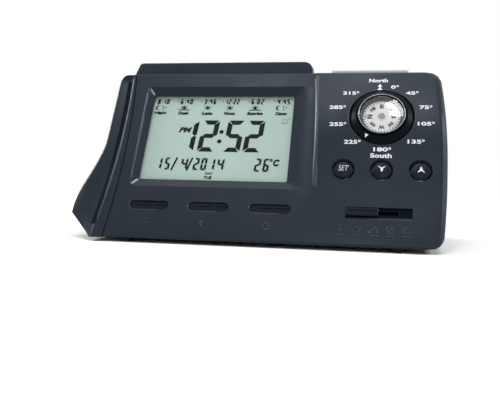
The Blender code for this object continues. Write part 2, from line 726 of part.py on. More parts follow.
def slide_groove(face):
    """A shallow groove whose lower wall slopes, for the finger that moves the knob."""
    right = GROOVE_LENGTH / 2
    half = GROOVE_WIDTH / 2
    spread = GROOVE_CHAMFER / GROOVE_DEPTH
    floor = [(-right, -half), (right, -half), (right, half), (-right, half)]
    low = -half - spread * (GROOVE_DEPTH + OVERRUN)
    mouth = [(-right, low), (right, low), (right, half), (-right, half)]
    rings = [[(GROOVE_MIDDLE + x, GROOVE_UP + y, GROOVE_FLOOR) for x, y in floor],
             [(GROOVE_MIDDLE + x, GROOVE_UP + y, OVERRUN) for x, y in mouth]]
    return loft("slide_groove", rings, frame=face)


def bar_pocket(name):
    """The shallow pocket that the bar sinks into, across the case and the cheek beside it."""
    left = BAR_LEFT - KEY_GAP - MIDDLE_X
    right = BAR_RIGHT + KEY_GAP - MIDDLE_X
    front = face_y(BAR_LOW) + BAR_SETBACK - KEY_GAP
    rear = BACK_Y - BAR_BACK_MARGIN + KEY_GAP
    return box(name, (right - left, rear - front, BAR_SINK + OVERRUN),
               ((left + right) / 2, (front + rear) / 2, TOP_Z + (OVERRUN - BAR_SINK) / 2))


def make_front_case(face, finish):
    case = case_form("front_case", 0.0, finish)
    change(case, shape_front_hollow(face))
    change(case, half_space("behind_the_seam", behind=True))
    change(case, display_funnel(face))
    for name, across in long_key_places():
        slot = plate(f"{name}_slot", stadium(LONG_KEY_LENGTH + 2 * KEY_GAP, LONG_KEY_WIDTH + 2 * KEY_GAP),
                     2 * (WALL + OVERRUN), (across, LONG_KEY_UP, 0.0), frame=face)
        change(case, slot)
    hole = BUTTON_RADIUS + KEY_GAP
    mouth = [(0.0, 3 * BUTTON_DISH_DEPTH), (hole + 4 * BUTTON_DISH, 3 * BUTTON_DISH_DEPTH),
             (hole, -BUTTON_DISH_DEPTH), (hole, -WALL - OVERRUN), (0.0, -WALL - OVERRUN)]
    for name, across in button_places():
        change(case, turned(f"{name}_hole", mouth, (across, BUTTON_UP, 0.0), frame=face,
                            steps=BUTTON_STEPS))
    change(case, slide_groove(face))
    change(case, on_face("slide_slot", -WALL - OVERRUN, OVERRUN, GROOVE_MIDDLE, GROOVE_UP,
                         KNOB_TRAVEL + KNOB_STEM_LENGTH + 2 * KEY_GAP,
                         KNOB_STEM_WIDTH + 2 * KEY_GAP, face))
    change(case, round_on_face("compass_seat", SEAT_RISE, SEAT_RISE + OVERRUN, COMPASS_ACROSS,
                               COMPASS_UP, RING_RADIUS + KEY_GAP, face, steps=ROUND_STEPS))
    change(case, round_on_face("compass_hole", -SEAT_BACKING - OVERRUN, OVERRUN, COMPASS_ACROSS,
                               COMPASS_UP, CUP_RADIUS + CLEARANCE, face, steps=ROUND_STEPS))
    for i, (across, up) in enumerate(main_posts() + key_posts()):
        change(case, round_on_face(f"board_pilot_{i}", BOARD_FRONT - OVERRUN,
                                   BOARD_BACK + BOARD_SCREW_LENGTH + CLEARANCE, across, up,
                                   POST_PILOT_RADIUS, face))
    change(case, bar_pocket("case_bar_pocket"))
    change(case, box("bar_guide_slot", (BAR_GUIDE_LENGTH + 2 * CLEARANCE,
                                        BAR_GUIDE_WIDTH + 2 * CLEARANCE, 2 * OVERRUN),
                     (BAR_MIDDLE_X, TOP_ROW_Y, TOP_Z)))
    change(case, box("top_key_opening", (TOP_KEY_LENGTH + 2 * KEY_GAP, TOP_KEY_WIDTH + 2 * KEY_GAP,
                                         2 * OVERRUN), (TOP_KEY_X, TOP_KEY_Y, TOP_Z)))
    cut_screw_holes(case, "front")
    cut_foot_seats(case, "front")
    return case


def make_rear_case(finish):
    case = case_form("rear_case", 0.0, finish)
    hollow = case_form("rear_room", WALL)
    add_screw_bosses(hollow, "rear")
    change(case, hollow)
    change(case, half_space("before_the_seam", behind=False))
    deep = BACK_Y - WALL / 2 - (TRAY_FLOOR_Y - WALL)
    change(case, box("tray_walls", (TRAY_WIDTH + 2 * TRAY_WALL, deep, TRAY_DEEP + 2 * TRAY_WALL),
                     (TRAY_X, TRAY_FLOOR_Y - WALL + deep / 2, TRAY_HEIGHT)), "UNION")
    deep = BACK_Y + OVERRUN - TRAY_FLOOR_Y
    change(case, box("tray_room", (TRAY_WIDTH, deep, TRAY_DEEP),
                     (TRAY_X, TRAY_FLOOR_Y + deep / 2, TRAY_HEIGHT)))
    deep = BACK_Y + OVERRUN - LEDGE_Y
    change(case, box("cover_rebate", (TRAY_WIDTH + 2 * COVER_LEDGE, deep, TRAY_DEEP + 2 * COVER_LEDGE),
                     (TRAY_X, LEDGE_Y + deep / 2, TRAY_HEIGHT)))
    half_count = int((GRILLE_RADIUS - GRILLE_SLOT) / GRILLE_PITCH)
    for row in range(-half_count, half_count + 1):
        offset = row * GRILLE_PITCH
        length = 2 * math.sqrt(GRILLE_RADIUS ** 2 - offset ** 2)
        change(case, plate(f"grille_slot_{row}", stadium(length, GRILLE_SLOT), 2 * (WALL + CLEARANCE),
                           (SPEAKER_X, BACK_Y, SPEAKER_HEIGHT + offset), turn=FACING_BACK))
    cut_screw_holes(case, "rear")
    cut_foot_seats(case, "rear")
    return case


def wing_x(z):
    """The cheek's outer edge: straight above, flared below, and cut back at its foot."""
    up = up_face(z)
    share = min(max((FLARE_START - up) / (FLARE_START - FLARE_END), 0.0), 1.0)
    reach = WING_NARROW + WING_FLARE * share * share * (3 - 2 * share)
    above_foot = up + FACE_LOW
    if above_foot < WING_FOOT_CUT:
        ridge = LEFT_EDGE + LEFT_BOW * bow(z) + RIDGE_STRIP_FOOT
        reach = ridge + (reach - ridge) * (above_foot / WING_FOOT_CUT + CHEEK_GROOVE / WING_FOOT_CUT)
    return -reach - MIDDLE_X


# Shares across the flute, from the ridge to the wing's edge, and the depth there
FLUTE_SHARES = ((0.04, 0.20), (0.12, 0.62), (0.24, 0.92), (0.38, 1.0), (0.54, 0.96), (0.74, 0.86),
                (0.92, 0.84), (0.98, 0.92), (1.0, 1.12))
# Shares of the way back along the side, and of the way in from the wing to the rear edge
SIDE_SHARES = ((0.10, 0.02), (0.22, 0.16), (0.38, 0.44), (0.56, 0.74), (0.76, 0.94), (0.92, 1.0))


def cheek_ring(z, top):
    """One level section of the cheek, from its inner front corner round to its inner back corner."""
    under = top - z
    inner = left_x(z) - CLEARANCE
    edge = rounding(under, FRONT_TOP_ROUND)
    front = face_y(z) + edge
    rise_share = (z - BASE_Z) / (top - BASE_Z)
    strip = RIDGE_STRIP_FOOT + (RIDGE_STRIP_TOP - RIDGE_STRIP_FOOT) * rise_share
    ridge = inner - strip
    wing = wing_x(z) + rounding(under, CHEEK_ROUND)
    width = ridge - wing
    depth = CHANNEL_DEPTH * min(1.0, width / CHEEK_FULL_WIDTH)
    ridge_y = front + RIDGE_SETBACK
    back = BACK_Y - edge
    outline = [(inner, front + CHEEK_GROOVE), (inner - CHEEK_GROOVE / 2, front + RIDGE_SETBACK),
               (ridge, ridge_y)]
    for across, down in FLUTE_SHARES:
        outline.append((ridge - width * across, ridge_y + depth * down))
    side_start = outline[-1][1]
    rear_x = inner - CHEEK_REAR
    for along, drawn in SIDE_SHARES:
        outline.append((wing + (rear_x - wing) * drawn, side_start + (back - side_start) * along))
    outline.append((rear_x + CHEEK_REAR / 3, back))
    outline.append((inner, back))
    return [(x, y, z) for x, y in outline]


def make_left_cheek(finish):
    top = DISPLAY_Z + CHEEK_TOP * math.cos(LEAN)
    levels = heights(BASE_Z, top, FRONT_LOW_ROUND, CHEEK_ROUND, CHEEK_STATIONS)
    cheek = loft("left_cheek", [cheek_ring(z, top) for z in levels], finish)
    change(cheek, bar_pocket("cheek_bar_pocket"))
    return cheek


def make_display(face, clear, glass, pale):
    """The clear window, the liquid-crystal panel and its light, stacked behind the frame."""
    layers = (("display_window", LENS_FRONT, LENS_THICKNESS, LENS_MARGIN, clear),
              ("lcd_panel", LCD_FRONT, LCD_THICKNESS, LCD_MARGIN, glass),
              ("backlight_panel", BACKLIGHT_FRONT, BACKLIGHT_THICKNESS, LENS_MARGIN, pale))
    for name, front, thickness, margin, finish in layers:
        on_face(name, front - thickness, front, 0.0, 0.0, WINDOW_WIDTH + 2 * margin,
                WINDOW_HEIGHT + 2 * margin, face, finish)


def make_board(name, left, right, low, high, posts, switches, face, finish):
    """A circuit board with its switches soldered on and a hole for each screw."""
    board = on_face(name, BOARD_BACK, BOARD_FRONT, (left + right) / 2, (low + high) / 2,
                    right - left, high - low, face, finish)
    for i, (across, up) in enumerate(switches):
        body_top = KEY_SWITCH_TOP - PLUNGER_HEIGHT
        change(board, on_face(f"{name}_switch_{i}", BOARD_FRONT - BOARD_THICKNESS / 2, body_top,
                              across, up, SWITCH_SIZE, SWITCH_SIZE, face), "UNION")
        change(board, round_on_face(f"{name}_plunger_{i}", BOARD_FRONT, KEY_SWITCH_TOP, across, up,
                                    PLUNGER_RADIUS, face), "UNION")
    for i, (across, up) in enumerate(posts):
        change(board, round_on_face(f"{name}_hole_{i}", BOARD_BACK - OVERRUN, BOARD_FRONT + OVERRUN,
                                    across, up, POST_PILOT_RADIUS, face))
    return board


def make_boards(face, green, steel):
    keys = [(across, LONG_KEY_UP) for name, across in long_key_places()]
    buttons = [(across, BUTTON_UP) for name, across in button_places()]
    make_board("main_board", MAIN_BOARD_LEFT, MAIN_BOARD_RIGHT, BOARD_LOW, MAIN_BOARD_HIGH,
               main_posts(), keys, face, green)
    make_board("key_board", KEY_BOARD_LEFT, KEY_BOARD_RIGHT, BOARD_LOW, KEY_BOARD_HIGH,
               key_posts(), buttons, face, green)
    screw_profile = [(0.0, -BOARD_SCREW_HEAD_HEIGHT), (BOARD_SCREW_HEAD_RADIUS, -BOARD_SCREW_HEAD_HEIGHT),
                     (BOARD_SCREW_HEAD_RADIUS, 0.0), (BOARD_SCREW_RADIUS, 0.0),
                     (BOARD_SCREW_RADIUS, BOARD_SCREW_LENGTH), (0.0, BOARD_SCREW_LENGTH)]
    for i, (across, up) in enumerate(main_posts() + key_posts()):
        turned(f"board_screw_{i + 1}", screw_profile[::-1], (across, up, BOARD_BACK - CLEARANCE), steel,
               face, steps=SMALL_ROUND_STEPS)
    width = TOP_BOARD_RIGHT - TOP_BOARD_LEFT
    board_x = (TOP_BOARD_LEFT + TOP_BOARD_RIGHT) / 2 - MIDDLE_X
    board = box("top_board", (width, TOP_BOARD_WIDTH, BOARD_THICKNESS),
                (board_x, TOP_ROW_Y, TOP_BOARD_TOP - BOARD_THICKNESS / 2), green)
    for name, x, y in (("bar_switch", BAR_MIDDLE_X, TOP_ROW_Y), ("light_switch", TOP_KEY_X, TOP_ROW_Y)):
        height = TOP_BOARD_SWITCH + BOARD_THICKNESS / 2
        change(board, box(name, (SWITCH_SIZE, SWITCH_SIZE, height),
                          (x, y, TOP_SWITCH_TOP - height / 2)), "UNION")


def make_long_keys(face, finish):
    """Half-sunk keys with two finger ribs each; a flange behind the wall keeps them in."""
    top = -LONG_KEY_SINK
    for name, across in long_key_places():
        key = plate(name, stadium(LONG_KEY_LENGTH, LONG_KEY_WIDTH), top - KEY_FLANGE_TOP + CLEARANCE,
                    (across, LONG_KEY_UP, (top + KEY_FLANGE_TOP - CLEARANCE) / 2), finish, face)
        change(key, on_face(f"{name}_flange", KEY_FLANGE_LOW, KEY_FLANGE_TOP, across, LONG_KEY_UP,
                            LONG_KEY_LENGTH + 2 * KEY_FLANGE, LONG_KEY_WIDTH + 2 * KEY_FLANGE, face),
               "UNION")
        change(key, round_on_face(f"{name}_stem", KEY_STEM_END, KEY_FLANGE_TOP, across, LONG_KEY_UP,
                                  KEY_STEM_RADIUS, face), "UNION")
        for side in (-1, 1):
            rib = plate(f"{name}_rib_{side}", stadium(LONG_KEY_RIB_LENGTH, LONG_KEY_RIB_WIDTH),
                        2 * LONG_KEY_RIB_HEIGHT,
                        (across + LONG_KEY_RIB_SHIFT + side * LONG_KEY_RIB_SPREAD / 2,
                         LONG_KEY_UP + LONG_KEY_RIB_UP, top),
                        frame=face)
            change(key, rib, "UNION")


def make_buttons(face, finish):
    """Domed round buttons, turned with their flange and stem in one."""
    crown = BUTTON_EDGE_RISE + BUTTON_DOME
    turns = [math.radians(90) * i / DOME_STEPS for i in range(1, DOME_STEPS + 1)]
    dome = [(BUTTON_RADIUS * math.sin(turn), BUTTON_EDGE_RISE + BUTTON_DOME * math.cos(turn))
            for turn in turns]
    flange = BUTTON_RADIUS + KEY_GAP + KEY_FLANGE
    profile = [(0.0, crown)] + dome
    profile += [(BUTTON_RADIUS, KEY_FLANGE_TOP), (flange, KEY_FLANGE_TOP), (flange, KEY_FLANGE_LOW),
                (KEY_STEM_RADIUS, KEY_FLANGE_LOW), (KEY_STEM_RADIUS, KEY_STEM_END), (0.0, KEY_STEM_END)]
    for name, across in button_places():
        turned(name, profile, (across, BUTTON_UP, 0.0), finish, face, steps=BUTTON_STEPS)


def make_slide(face, dark, grey):
    """The knob with its ribs and stem, and the switch body that the stem moves."""
    width = GROOVE_WIDTH - 2 * KEY_GAP
    knob = on_face("slide_knob", KNOB_BOTTOM, KNOB_RISE, KNOB_REST_X, GROOVE_UP, KNOB_LENGTH, width,
                   face, dark)
    soften(knob, KNOB_EDGE, 1)
    for side in (-1, 1):
        rib = plate(f"knob_rib_{side}", stadium(LONG_KEY_RIB_LENGTH, LONG_KEY_RIB_WIDTH),
                    2 * LONG_KEY_RIB_HEIGHT,
                    (KNOB_REST_X + side * KNOB_RIB_SPREAD / 2, GROOVE_UP + LONG_KEY_RIB_UP, KNOB_RISE),
                    frame=face)
        change(knob, rib, "UNION")
    change(knob, on_face("knob_stem", -KNOB_STEM_DROP, (KNOB_BOTTOM + KNOB_RISE) / 2, KNOB_REST_X,
                         GROOVE_UP, KNOB_STEM_LENGTH, KNOB_STEM_WIDTH, face), "UNION")
    on_face("slide_switch", BOARD_FRONT + CLEARANCE, -KNOB_STEM_DROP - CLEARANCE, GROOVE_MIDDLE,
            GROOVE_UP, SLIDER_LENGTH, SLIDER_WIDTH, face, grey)


def make_compass(face, black, rim, white, clear, steel):
    axis = (COMPASS_ACROSS, COMPASS_UP, 0.0)
    low = SEAT_RISE + CLEARANCE
    ring = [(RING_BORE_RADIUS, low), (RING_BORE_RADIUS, RING_CROWN_RISE - RING_ROUND),
            (RING_BORE_RADIUS + RING_ROUND, RING_CROWN_RISE),
            (RING_RADIUS - RING_ROUND, RING_EDGE_RISE), (RING_RADIUS, RING_EDGE_RISE - RING_ROUND),
            (RING_RADIUS, low)]
    turned("compass_ring", ring, axis, black, face, closed=True)
    inner = CUP_RADIUS - CUP_WALL
    room = inner - CUP_LEDGE
    floor = CUP_FLOOR - CUP_DEPTH
    flange_top = -SEAT_BACKING - CLEARANCE
    cup = [(0.0, floor), (room, floor), (room, LENS_RISE), (inner, LENS_RISE), (inner, CUP_RIM_RISE),
           (CUP_RADIUS - RING_ROUND / 2, CUP_RIM_RISE), (CUP_RADIUS, CUP_RIM_RISE - RING_ROUND / 2),
           (CUP_RADIUS, flange_top), (CUP_RADIUS + CUP_FLANGE, flange_top),
           (CUP_RADIUS + CUP_FLANGE, flange_top - CUP_FLOOR), (CUP_RADIUS, flange_top - CUP_FLOOR),
           (CUP_RADIUS, -CUP_DEPTH), (0.0, -CUP_DEPTH)]
    turned("compass_cup", cup, axis, rim, face)
    low = LENS_RISE + CLEARANCE
    high = low + DIAL_LENS_THICKNESS
    radius = inner - CLEARANCE
    lens = [(0.0, high + DIAL_LENS_DOME), (radius / 2, high + DIAL_LENS_DOME * 3 / 4), (radius, high),
            (radius, low), (0.0, low)]
    turned("compass_lens", lens, axis, clear, face)
    card_top = CARD_RISE + CARD_THICKNESS
    socket_top = CARD_RISE - CARD_THICKNESS + HUB_SOCKET_DEPTH
    card = [(0.0, card_top + HUB_HEIGHT), (HUB_RADIUS * 3 / 4, card_top + HUB_HEIGHT),
            (HUB_RADIUS, card_top), (CARD_RADIUS, card_top), (CARD_RADIUS, CARD_RISE),
            (HUB_RADIUS, CARD_RISE), (HUB_RADIUS, CARD_RISE - CARD_THICKNESS),
            (HUB_SOCKET_RADIUS, CARD_RISE - CARD_THICKNESS), (0.0, socket_top)]
    turned("compass_card", card, axis, white, face)
    foot = floor + CLEARANCE
    pin = [(0.0, socket_top - CLEARANCE), (PIVOT_RADIUS, socket_top - CLEARANCE - 2 * PIVOT_RADIUS),
           (PIVOT_RADIUS, foot + PIVOT_BASE_HEIGHT), (PIVOT_BASE_RADIUS, foot + PIVOT_BASE_HEIGHT),
           (PIVOT_BASE_RADIUS, foot), (0.0, foot)]
    turned("compass_pivot", pin, axis, steel, face, steps=SMALL_ROUND_STEPS)


def bar_ring(z, low, high):
    under = high - z
    edge = rounding(under, BAR_EDGE_ROUND)
    left = BAR_LEFT - MIDDLE_X + BAR_SLANT * (z - low) / (high - low) + edge
    right = BAR_RIGHT - MIDDLE_X - rounding(under, BAR_END_ROUND)
    front = face_y(z) + BAR_SETBACK + edge
    rear = BACK_Y - BAR_BACK_MARGIN - edge
    corner = BAR_EDGE_ROUND
    outline = arc((left + corner, front + corner), corner, 180, 270, 2)
    outline += arc((right - corner, front + corner), corner, 270, 360, 2)
    outline += arc((right - corner, rear - corner), corner, 0, 90, 2)
    outline += arc((left + corner, rear - corner), corner, 90, 180, 2)
    return [(x, y, z) for x, y in outline]


def make_top_keys(dark, pale):
    high = TOP_Z + BAR_RISE
    levels = [BAR_LOW] + [high - BAR_END_ROUND * (1 - math.sin(math.radians(15 * i))) for i in range(7)]
    bar = loft("snooze_bar", [bar_ring(z, BAR_LOW, high) for z in levels], dark)
    guide_low = TOP_SWITCH_TOP + BAR_TRAVEL + CLEARANCE
    guide_high = (BAR_LOW + high) / 2
    change(bar, box("bar_guide", (BAR_GUIDE_LENGTH, BAR_GUIDE_WIDTH, guide_high - guide_low),
                    (BAR_MIDDLE_X, TOP_ROW_Y, (guide_low + guide_high) / 2)), "UNION")
    top = TOP_Z + TOP_KEY_RISE
    key = box("light_key", (TOP_KEY_LENGTH, TOP_KEY_WIDTH, top - TOP_FLANGE_LOW),
              (TOP_KEY_X, TOP_KEY_Y, (top + TOP_FLANGE_LOW) / 2), pale)
    soften(key, TOP_KEY_EDGE)
    change(key, box("light_key_flange", (TOP_KEY_LENGTH + 2 * KEY_FLANGE, TOP_KEY_WIDTH + 2 * KEY_FLANGE,
                                         KEY_FLANGE_THICKNESS),
                    (TOP_KEY_X, TOP_KEY_Y, (TOP_FLANGE_TOP + TOP_FLANGE_LOW) / 2)), "UNION")


def make_battery_bay(dark, sleeve, steel):
    """The cover, three cells side by side across the tray, and a contact strip at each end."""
    cover = box("battery_cover", (TRAY_WIDTH + 2 * (COVER_LEDGE - CLEARANCE), COVER_THICKNESS,
                                  TRAY_DEEP + 2 * (COVER_LEDGE - CLEARANCE)),
                (TRAY_X, BACK_Y - COVER_THICKNESS / 2, TRAY_HEIGHT), dark)
    soften(cover, COVER_EDGE, 1)
    change(cover, cylinder("cover_grip", GRIP_RADIUS, 2 * GRIP_DEPTH,
                           (TRAY_X, BACK_Y, TRAY_HEIGHT + TRAY_DEEP / 2 - GRIP_DROP), turn=FACING_BACK,
                           steps=ROUND_STEPS))
    half = CELL_LENGTH / 2
    profile = [(0.0, half + CELL_NUB_LENGTH), (CELL_NUB_RADIUS, half + CELL_NUB_LENGTH),
               (CELL_NUB_RADIUS, half), (CELL_RADIUS - CELL_EDGE, half), (CELL_RADIUS, half - CELL_EDGE),
               (CELL_RADIUS, -half), (0.0, -half)]
    for i in range(CELL_COUNT):
        side = 1 if i % 2 == 0 else -1
        z = TRAY_HEIGHT + (i - (CELL_COUNT - 1) / 2) * CELL_PITCH
        turned(f"battery_{i + 1}", profile, (TRAY_X - side * CELL_NUB_LENGTH / 2, CELL_Y, z), sleeve,
               turn=(0.0, side * math.radians(90), 0.0), steps=SMALL_ROUND_STEPS)
    for name, side in (("contact_left", -1), ("contact_right", 1)):
        x = TRAY_X + side * (TRAY_WIDTH / 2 - CLEARANCE - CONTACT_THICKNESS / 2)
        box(name, (CONTACT_THICKNESS, CONTACT_WIDTH, TRAY_DEEP - 2 * CLEARANCE), (x, CELL_Y, TRAY_HEIGHT),
            steel)


def make_speaker(steel, paper):
    """A basket with its magnet and a paper cone, behind the grille."""
    place = (SPEAKER_X, BACK_Y - WALL - CLEARANCE, SPEAKER_HEIGHT)
    throat = MAGNET_RADIUS - SPEAKER_WALL
    lip = SPEAKER_RADIUS - CONE_RIM
    basket = [(SPEAKER_RADIUS, 0.0), (SPEAKER_RADIUS, -SPEAKER_FLANGE),
              (lip + SPEAKER_WALL, -SPEAKER_FLANGE), (MAGNET_RADIUS, -SPEAKER_DEPTH),
              (MAGNET_RADIUS, -SPEAKER_DEPTH - MAGNET_DEPTH), (0.0, -SPEAKER_DEPTH - MAGNET_DEPTH)]
    inside = [(0.0, -SPEAKER_DEPTH + SPEAKER_WALL), (throat, -SPEAKER_DEPTH + SPEAKER_WALL),
              (lip, -SPEAKER_FLANGE), (lip, 0.0)]
    turned("speaker_basket", inside + basket, place, steel, turn=FACING_BACK)
    rim = lip - CLEARANCE
    slope = CONE_DEPTH - CONE_THICKNESS
    cone = [(0.0, -slope + CONE_CAP_RISE), (CONE_CAP_RADIUS * 2 / 3, -slope + CONE_CAP_RISE * 3 / 4),
            (CONE_CAP_RADIUS, -slope), (rim - CONE_RIM, -CONE_THICKNESS), (rim, -CONE_THICKNESS),
            (rim, -2 * CONE_THICKNESS), (rim - CONE_RIM, -2 * CONE_THICKNESS),
            (CONE_CAP_RADIUS, -slope - CONE_THICKNESS), (0.0, -slope - CONE_THICKNESS)]
    turned("speaker_cone", cone, place, paper, turn=FACING_BACK)


def make_feet(rubber):
    top = BASE_Z + FOOT_SINK
    profile = [(0.0, top), (FOOT_RADIUS, top), (FOOT_RADIUS, FOOT_EDGE), (FOOT_RADIUS - FOOT_EDGE, 0.0),
               (0.0, 0.0)]
    for name, x, y in feet():
        turned(name, profile, (x, y, 0.0), rubber, steps=SMALL_ROUND_STEPS)


def make_case_screws(steel):
    head = SCREW_HEAD_HEIGHT
    profile = [(0.0, head), (SCREW_HEAD_RADIUS * 3 / 4, head), (SCREW_HEAD_RADIUS, head / 2),
               (SCREW_HEAD_RADIUS, 0.0), (SCREW_RADIUS, 0.0), (SCREW_RADIUS, SCREW_TIP - SCREW_LENGTH),
               (0.0, -SCREW_LENGTH)]
    for name, x, z, seat in case_screws():
        turned(name, profile, (x, seat + CLEARANCE, z), steel, turn=FACING_BACK, steps=SMALL_ROUND_STEPS)


def make_clock():
    clear_scene()
    face = bpy.data.objects.new("face_frame", None)
    model.objects.link(face)
    face.location = (-MIDDLE_X, DISPLAY_Y, DISPLAY_Z)
    face.rotation_euler = (math.radians(90) - LEAN, 0.0, 0.0)
    shell = finish_of("dark grey plastic", (0.028, 0.035, 0.050), 0.42)
    key = finish_of("black key plastic", (0.010, 0.012, 0.014), 0.38)
    pale_key = finish_of("pale key plastic", (0.36, 0.38, 0.42), 0.45)
    clear = finish_of("clear plastic", (0.9, 0.92, 0.92), 0.05, see_through=1.0)
    glass = finish_of("display glass", (0.44, 0.56, 0.51), 0.25)
    white = finish_of("white plastic", (0.8, 0.8, 0.8), 0.5)
    rim = finish_of("smoke plastic", (0.06, 0.07, 0.09), 0.2)
    green = finish_of("circuit board", (0.02, 0.12, 0.05), 0.45)
    steel = finish_of("plated steel", (0.6, 0.6, 0.6), 0.3, metallic=1.0)
    rubber = finish_of("black rubber", (0.012, 0.012, 0.012), 0.8)
    sleeve = finish_of("battery sleeve", (0.05, 0.06, 0.08), 0.35)
    paper = finish_of("cone paper", (0.02, 0.02, 0.02), 0.9)
    make_front_case(face, shell)
    make_rear_case(shell)
    make_left_cheek(shell)
    make_display(face, clear, glass, white)
    make_boards(face, green, steel)
    make_long_keys(face, key)
    make_buttons(face, key)
    make_slide(face, key, key)
    make_compass(face, key, rim, white, clear, steel)
    make_top_keys(shell, pale_key)
    make_battery_bay(shell, sleeve, steel)
    make_speaker(steel, paper)
    make_feet(rubber)
    make_case_screws(steel)


make_clock()
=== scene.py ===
# %% [markdown]
# Prayer-time desk clock: the looks
#
# The clock's working parts come as a fixed model, the frame. This lesson dresses it: it finishes
# each moulded, printed and plated surface, adds what is printed or shown on it, and sets up a
# small studio.

# %% The frame and its tools
import math

import bmesh
import bpy
from mathutils import Matrix, Vector
from mathutils.bvhtree import BVHTree
from mathutils.geometry import tessellate_polygon


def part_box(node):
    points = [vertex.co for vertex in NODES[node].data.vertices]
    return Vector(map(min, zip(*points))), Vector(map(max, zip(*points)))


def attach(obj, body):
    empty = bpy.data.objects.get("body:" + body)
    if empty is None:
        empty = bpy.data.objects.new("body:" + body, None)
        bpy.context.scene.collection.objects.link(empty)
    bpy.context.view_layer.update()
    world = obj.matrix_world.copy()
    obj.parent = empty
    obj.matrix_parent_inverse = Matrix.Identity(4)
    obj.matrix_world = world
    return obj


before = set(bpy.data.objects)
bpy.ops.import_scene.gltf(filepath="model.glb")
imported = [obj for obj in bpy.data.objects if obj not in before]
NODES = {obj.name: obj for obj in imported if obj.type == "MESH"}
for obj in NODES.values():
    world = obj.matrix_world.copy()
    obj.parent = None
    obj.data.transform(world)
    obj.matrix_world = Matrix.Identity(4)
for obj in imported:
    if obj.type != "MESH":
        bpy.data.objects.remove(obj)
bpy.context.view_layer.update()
MM = 0.001

# %% [markdown]
# The front leans back, so almost everything printed or moulded on it is easier to place in the
# face's own axes: x to the right, y up the lean, z out of the face, in millimetres. One matrix
# turns such a place into the world's. Its origin is found from the frame's display panel.

# %% The leaning face's own axes
LEAN = math.radians(30)
LCD_THICKNESS = 1.8
LCD_FRONT = -4.6
across = Vector((1, 0, 0))
up_face = Vector((0, math.sin(LEAN), math.cos(LEAN)))
out_of_face = across.cross(up_face)
panel_low, panel_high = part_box("lcd_panel")
FACE = Matrix((across, up_face, out_of_face)).transposed().to_4x4()
FACE.translation = (panel_low + panel_high) / 2 - out_of_face * (LCD_FRONT - LCD_THICKNESS / 2) * MM
print("face origin in mm:", [round(v / MM, 2) for v in FACE.translation])


def on_face(x, y, z=0.0):
    """A place on the face, in millimetres, as a place in the world."""
    return FACE @ Vector((x * MM, y * MM, z * MM))


# %% [markdown]
# Print follows the surface it is on, also where the panel bulges or a button is domed. A ray shot
# straight at the face finds the height of that surface at any place.

# %% Heights of the surfaces that carry print
RAY_START = 20.0


def surface_of(name):
    """The height of one of the frame's parts over the face's plane, as a function of the place."""
    mesh = NODES[name].data
    tree = BVHTree.FromPolygons([v.co for v in mesh.vertices], [tuple(p.vertices) for p in mesh.polygons])

    def height(x, y):
        distance = tree.ray_cast(on_face(x, y, RAY_START), -out_of_face)[3]
        return 0.0 if distance is None else RAY_START - distance / MM
    return height


def level(height):
    """A flat surface at one height."""
    return lambda x, y: height


shell_surface = surface_of("front_case")
print("panel stands out by", round(shell_surface(66, 12), 2), "mm beside the compass")

# %% [markdown]
# Colours are picked from a screen as sRGB hex values. Shaders want linear light, so one function
# turns a hex value into a linear colour. Others add and wire a shader node, start a material and
# make its gloss uneven, which keeps each finish a short recipe.

# %% Colour and node helpers
def linear(hex_colour):
    """A hex colour such as 2f3642 as linear red, green, blue and alpha."""
    channels = [int(hex_colour[i:i + 2], 16) / 255 for i in (0, 2, 4)]
    return (*[c / 12.92 if c <= 0.04045 else ((c + 0.055) / 1.055) ** 2.4 for c in channels], 1.0)


def tinted(colour, share):
    """A linear colour made lighter or darker by a share of itself."""
    return (*[min(1.0, c * (1 + share)) for c in colour[:3]], 1.0)


def add_node(tree, kind, settings=None, inputs=None):
    """A node with its settings; an input is a plain value or another node's output."""
    made = tree.nodes.new(kind)
    for name, value in (settings or {}).items():
        setattr(made, name, value)
    for name, value in (inputs or {}).items():
        if isinstance(value, bpy.types.NodeSocket):
            tree.links.new(value, made.inputs[name])
        else:
            made.inputs[name].default_value = value
    return made


def new_material(name, sockets):
    """A material with one Principled shader, and its sockets set by name."""
    material = bpy.data.materials.new(name)
    material.use_nodes = True
    shader = material.node_tree.nodes["Principled BSDF"]
    for socket, value in sockets.items():
        shader.inputs[socket].default_value = value
    print("finish:", name)
    return material, material.node_tree, shader


def own_place(tree):
    """The place on the surface, in the object's own space."""
    return add_node(tree, "ShaderNodeTexCoord").outputs["Object"]


def uneven_gloss(tree, shader, size, low, high, noise_start=0.0):
    """Varies the roughness between two values by noise of a size in millimetres."""
    noise = add_node(tree, "ShaderNodeTexNoise", {}, {
        "Vector": own_place(tree), "Scale": 1 / (size * MM), "Detail": 2.0})
    gloss = add_node(tree, "ShaderNodeMapRange", {}, {
        "Value": noise.outputs["Fac"], "From Min": noise_start, "To Min": low, "To Max": high})
    tree.links.new(gloss.outputs["Result"], shader.inputs["Roughness"])


# %% [markdown]
# Most of the clock is injection-moulded ABS. The mould's steel is spark eroded, so the plastic
# comes out with a fine pebbled grain that breaks up reflections. Noise in object space gives the
# grain at a real size, and slower noise varies the tone and the gloss a little, as the flow of the
# melt and later handling do. The real grain is about 0.1 mm; it is drawn a few times coarser, so
# that it shows at all.

# %% Moulded plastics
CLOUD_SIZE = 14.0
COOL_SHEEN = "dde3ff"


